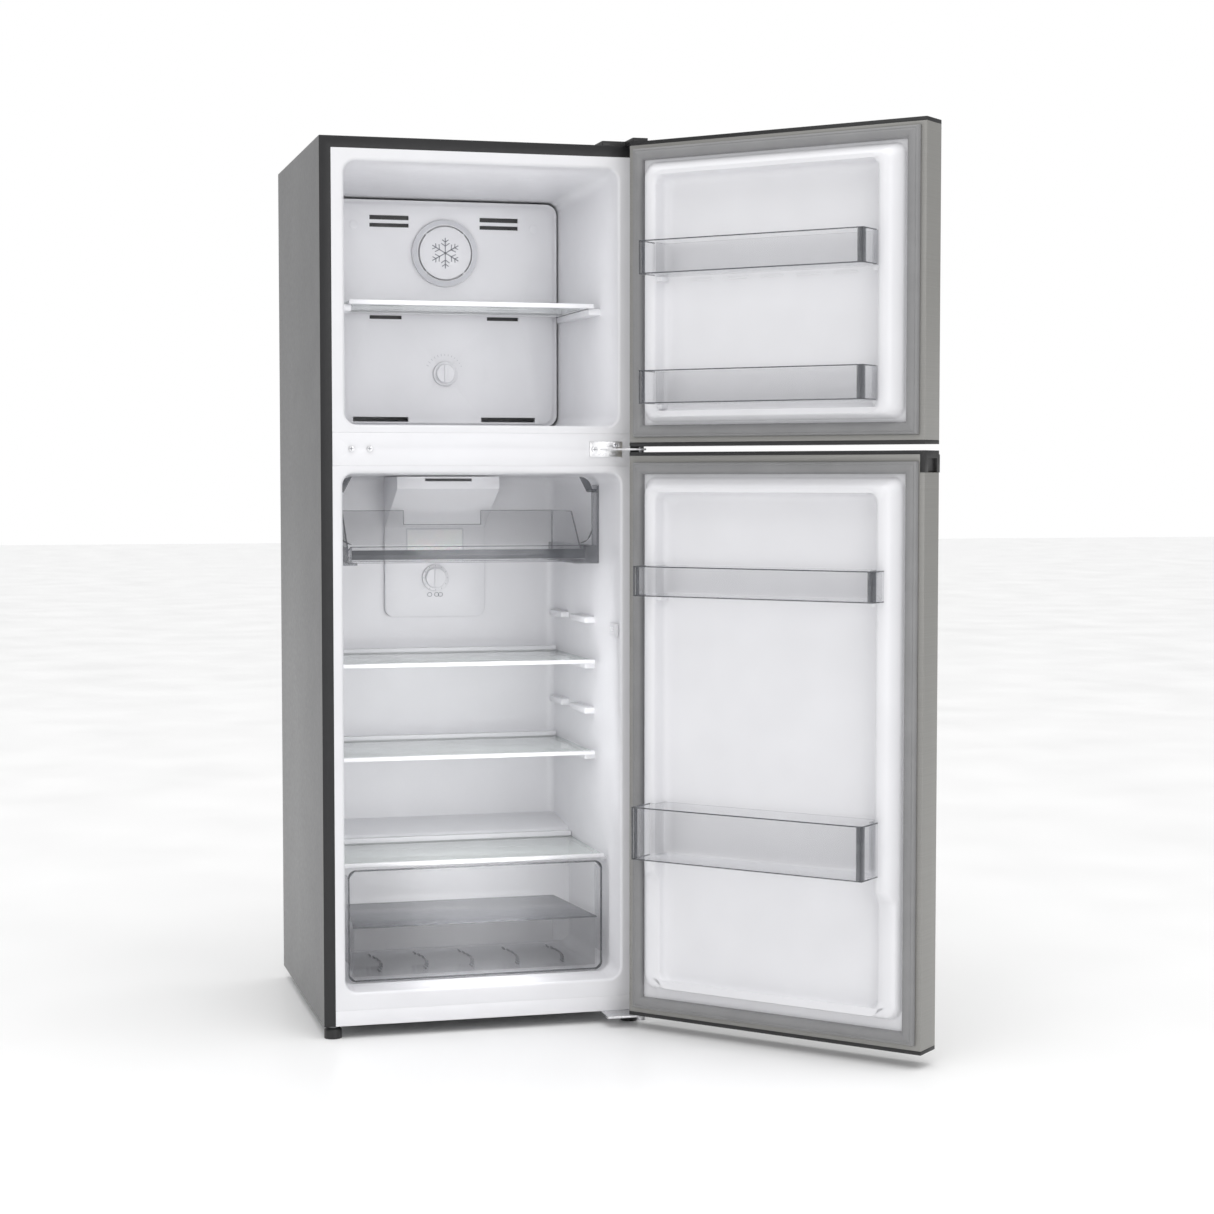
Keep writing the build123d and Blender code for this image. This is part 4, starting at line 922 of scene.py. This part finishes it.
class OBJECT_OT_refrigerator_stage(bpy.types.Operator):
    """Pale floor, soft studio light and the camera"""
    bl_idname = "object.refrigerator_stage"
    bl_label = "Stage"

    def execute(self, context):
        settings = context.scene.refrigerator_stage
        bm = bmesh.new()
        bmesh.ops.create_grid(bm, x_segments=8, y_segments=8, size=30)
        floor = link_mesh("studio_floor", bm)
        material, tree, shader, place = start_material("studio_floor_paint", IOR=1.4)
        shader.inputs["Base Color"].default_value = (*settings.floor_colour, 1)
        vary(tree, shader, noise(tree, place, 400), "Roughness", 0.30, 0.42)
        floor.data.materials.append(material)
        camera_data = bpy.data.cameras.new("camera")
        camera_data.lens = settings.lens
        camera_data.sensor_width = 36
        camera = bpy.data.objects.new("camera", camera_data)
        camera.location = settings.camera_place
        camera.rotation_euler = (math.radians(90) - settings.camera_tilt, 0, -settings.camera_turn)
        context.scene.collection.objects.link(camera)
        context.scene.camera = camera
        sun = bpy.data.lights.new("overhead_light", "SUN")
        sun.energy, sun.angle = settings.overhead, math.radians(75)
        overhead = bpy.data.objects.new("overhead_light", sun)
        overhead.rotation_euler = (math.radians(12), 0, 0)
        context.scene.collection.objects.link(overhead)
        for name, place, target, size, power in (
                ("key_softbox", (-3.2, -3.4, 2.6), (0, -0.2, 0.9), 2.4, 24),
                ("front_fill", (1.3, -5.0, 1.5), (0, 0, 0.8), 2.6, 34),
                ("freezer_fill", (0, FRONT + 0.01, 1.22), (0, 0.3, 1.2), 0.38, 0.26),
                ("chiller_fill", (0, FRONT + 0.01, 0.83), (0, 0.3, 0.8), 0.18, 0.1),
                ("shelf_fill", (0, FRONT + 0.01, 0.56), (0, 0.3, 0.5), 0.38, 0.62),
                ("crisper_fill", (0, FRONT + 0.01, 0.2), (0, 0.3, 0.1), 0.2, 0.3)):
            light = bpy.data.lights.new(name, "AREA")
            light.size, light.energy = size, power
            lamp = bpy.data.objects.new(name, light)
            lamp.location = place
            lamp.visible_camera = False
            lamp.rotation_euler = (Vector(target) - Vector(place)).to_track_quat("-Z", "Y").to_euler()
            context.scene.collection.objects.link(lamp)
        world = bpy.data.worlds.new("studio")
        world.use_nodes = True
        tree = world.node_tree
        even = tree.nodes["Background"]
        even.inputs["Color"].default_value = (1, 1, 1, 1)
        even.inputs["Strength"].default_value = settings.sky
        white = add_node(tree, "ShaderNodeBackground", {"Color": (1, 1, 1, 1), "Strength": 1.0})
        seen = add_node(tree, "ShaderNodeLightPath")
        mix = add_node(tree, "ShaderNodeMixShader", links={0: seen.outputs["Is Camera Ray"],
                                                           1: even.outputs[0], 2: white.outputs[0]})
        tree.links.new(mix.outputs[0], tree.nodes["World Output"].inputs["Surface"])
        context.scene.world = world
        context.scene.view_settings.view_transform = "Standard"
        return {"FINISHED"}


OPERATORS = [
    OBJECT_OT_refrigerator_finishes,
    OBJECT_OT_refrigerator_liners,
    OBJECT_OT_refrigerator_door_liners,
    OBJECT_OT_refrigerator_seals,
    OBJECT_OT_refrigerator_soft_parts,
    OBJECT_OT_refrigerator_clear_parts,
    OBJECT_OT_refrigerator_freezer_marks,
    OBJECT_OT_refrigerator_fridge_marks,
    OBJECT_OT_refrigerator_crisper_details,
    OBJECT_OT_refrigerator_bin_rims,
    OBJECT_OT_refrigerator_inserts,
    OBJECT_OT_refrigerator_stage,
]


class VIEW3D_PT_refrigerator(bpy.types.Panel):
    """Builds the refrigerator's pieces, one operator after another"""
    bl_label = "Refrigerator"
    bl_space_type = "VIEW_3D"
    bl_region_type = "UI"
    bl_category = "Refrigerator"

    def draw(self, context):
        for name in SETTINGS:
            box = self.layout.box()
            for prop in getattr(context.scene, name).bl_rna.properties:
                if not prop.is_readonly and prop.identifier != "name":
                    box.prop(getattr(context.scene, name), prop.identifier)
        for operator in OPERATORS:
            self.layout.operator(operator.bl_idname)


CLASSES = [*SETTINGS.values(), *OPERATORS, VIEW3D_PT_refrigerator]


def register():
    for cls in CLASSES:
        bpy.utils.register_class(cls)
    for name, cls in SETTINGS.items():
        setattr(bpy.types.Scene, name, PointerProperty(type=cls))


def unregister():
    for name in SETTINGS:
        delattr(bpy.types.Scene, name)
    for cls in reversed(CLASSES):
        bpy.utils.unregister_class(cls)


def main():
    """Builds every piece in order."""
    register()
    for operator in OPERATORS:
        group, name = operator.bl_idname.split(".")
        getattr(getattr(bpy.ops, group), name)()


if __name__ == "__main__":
    main()
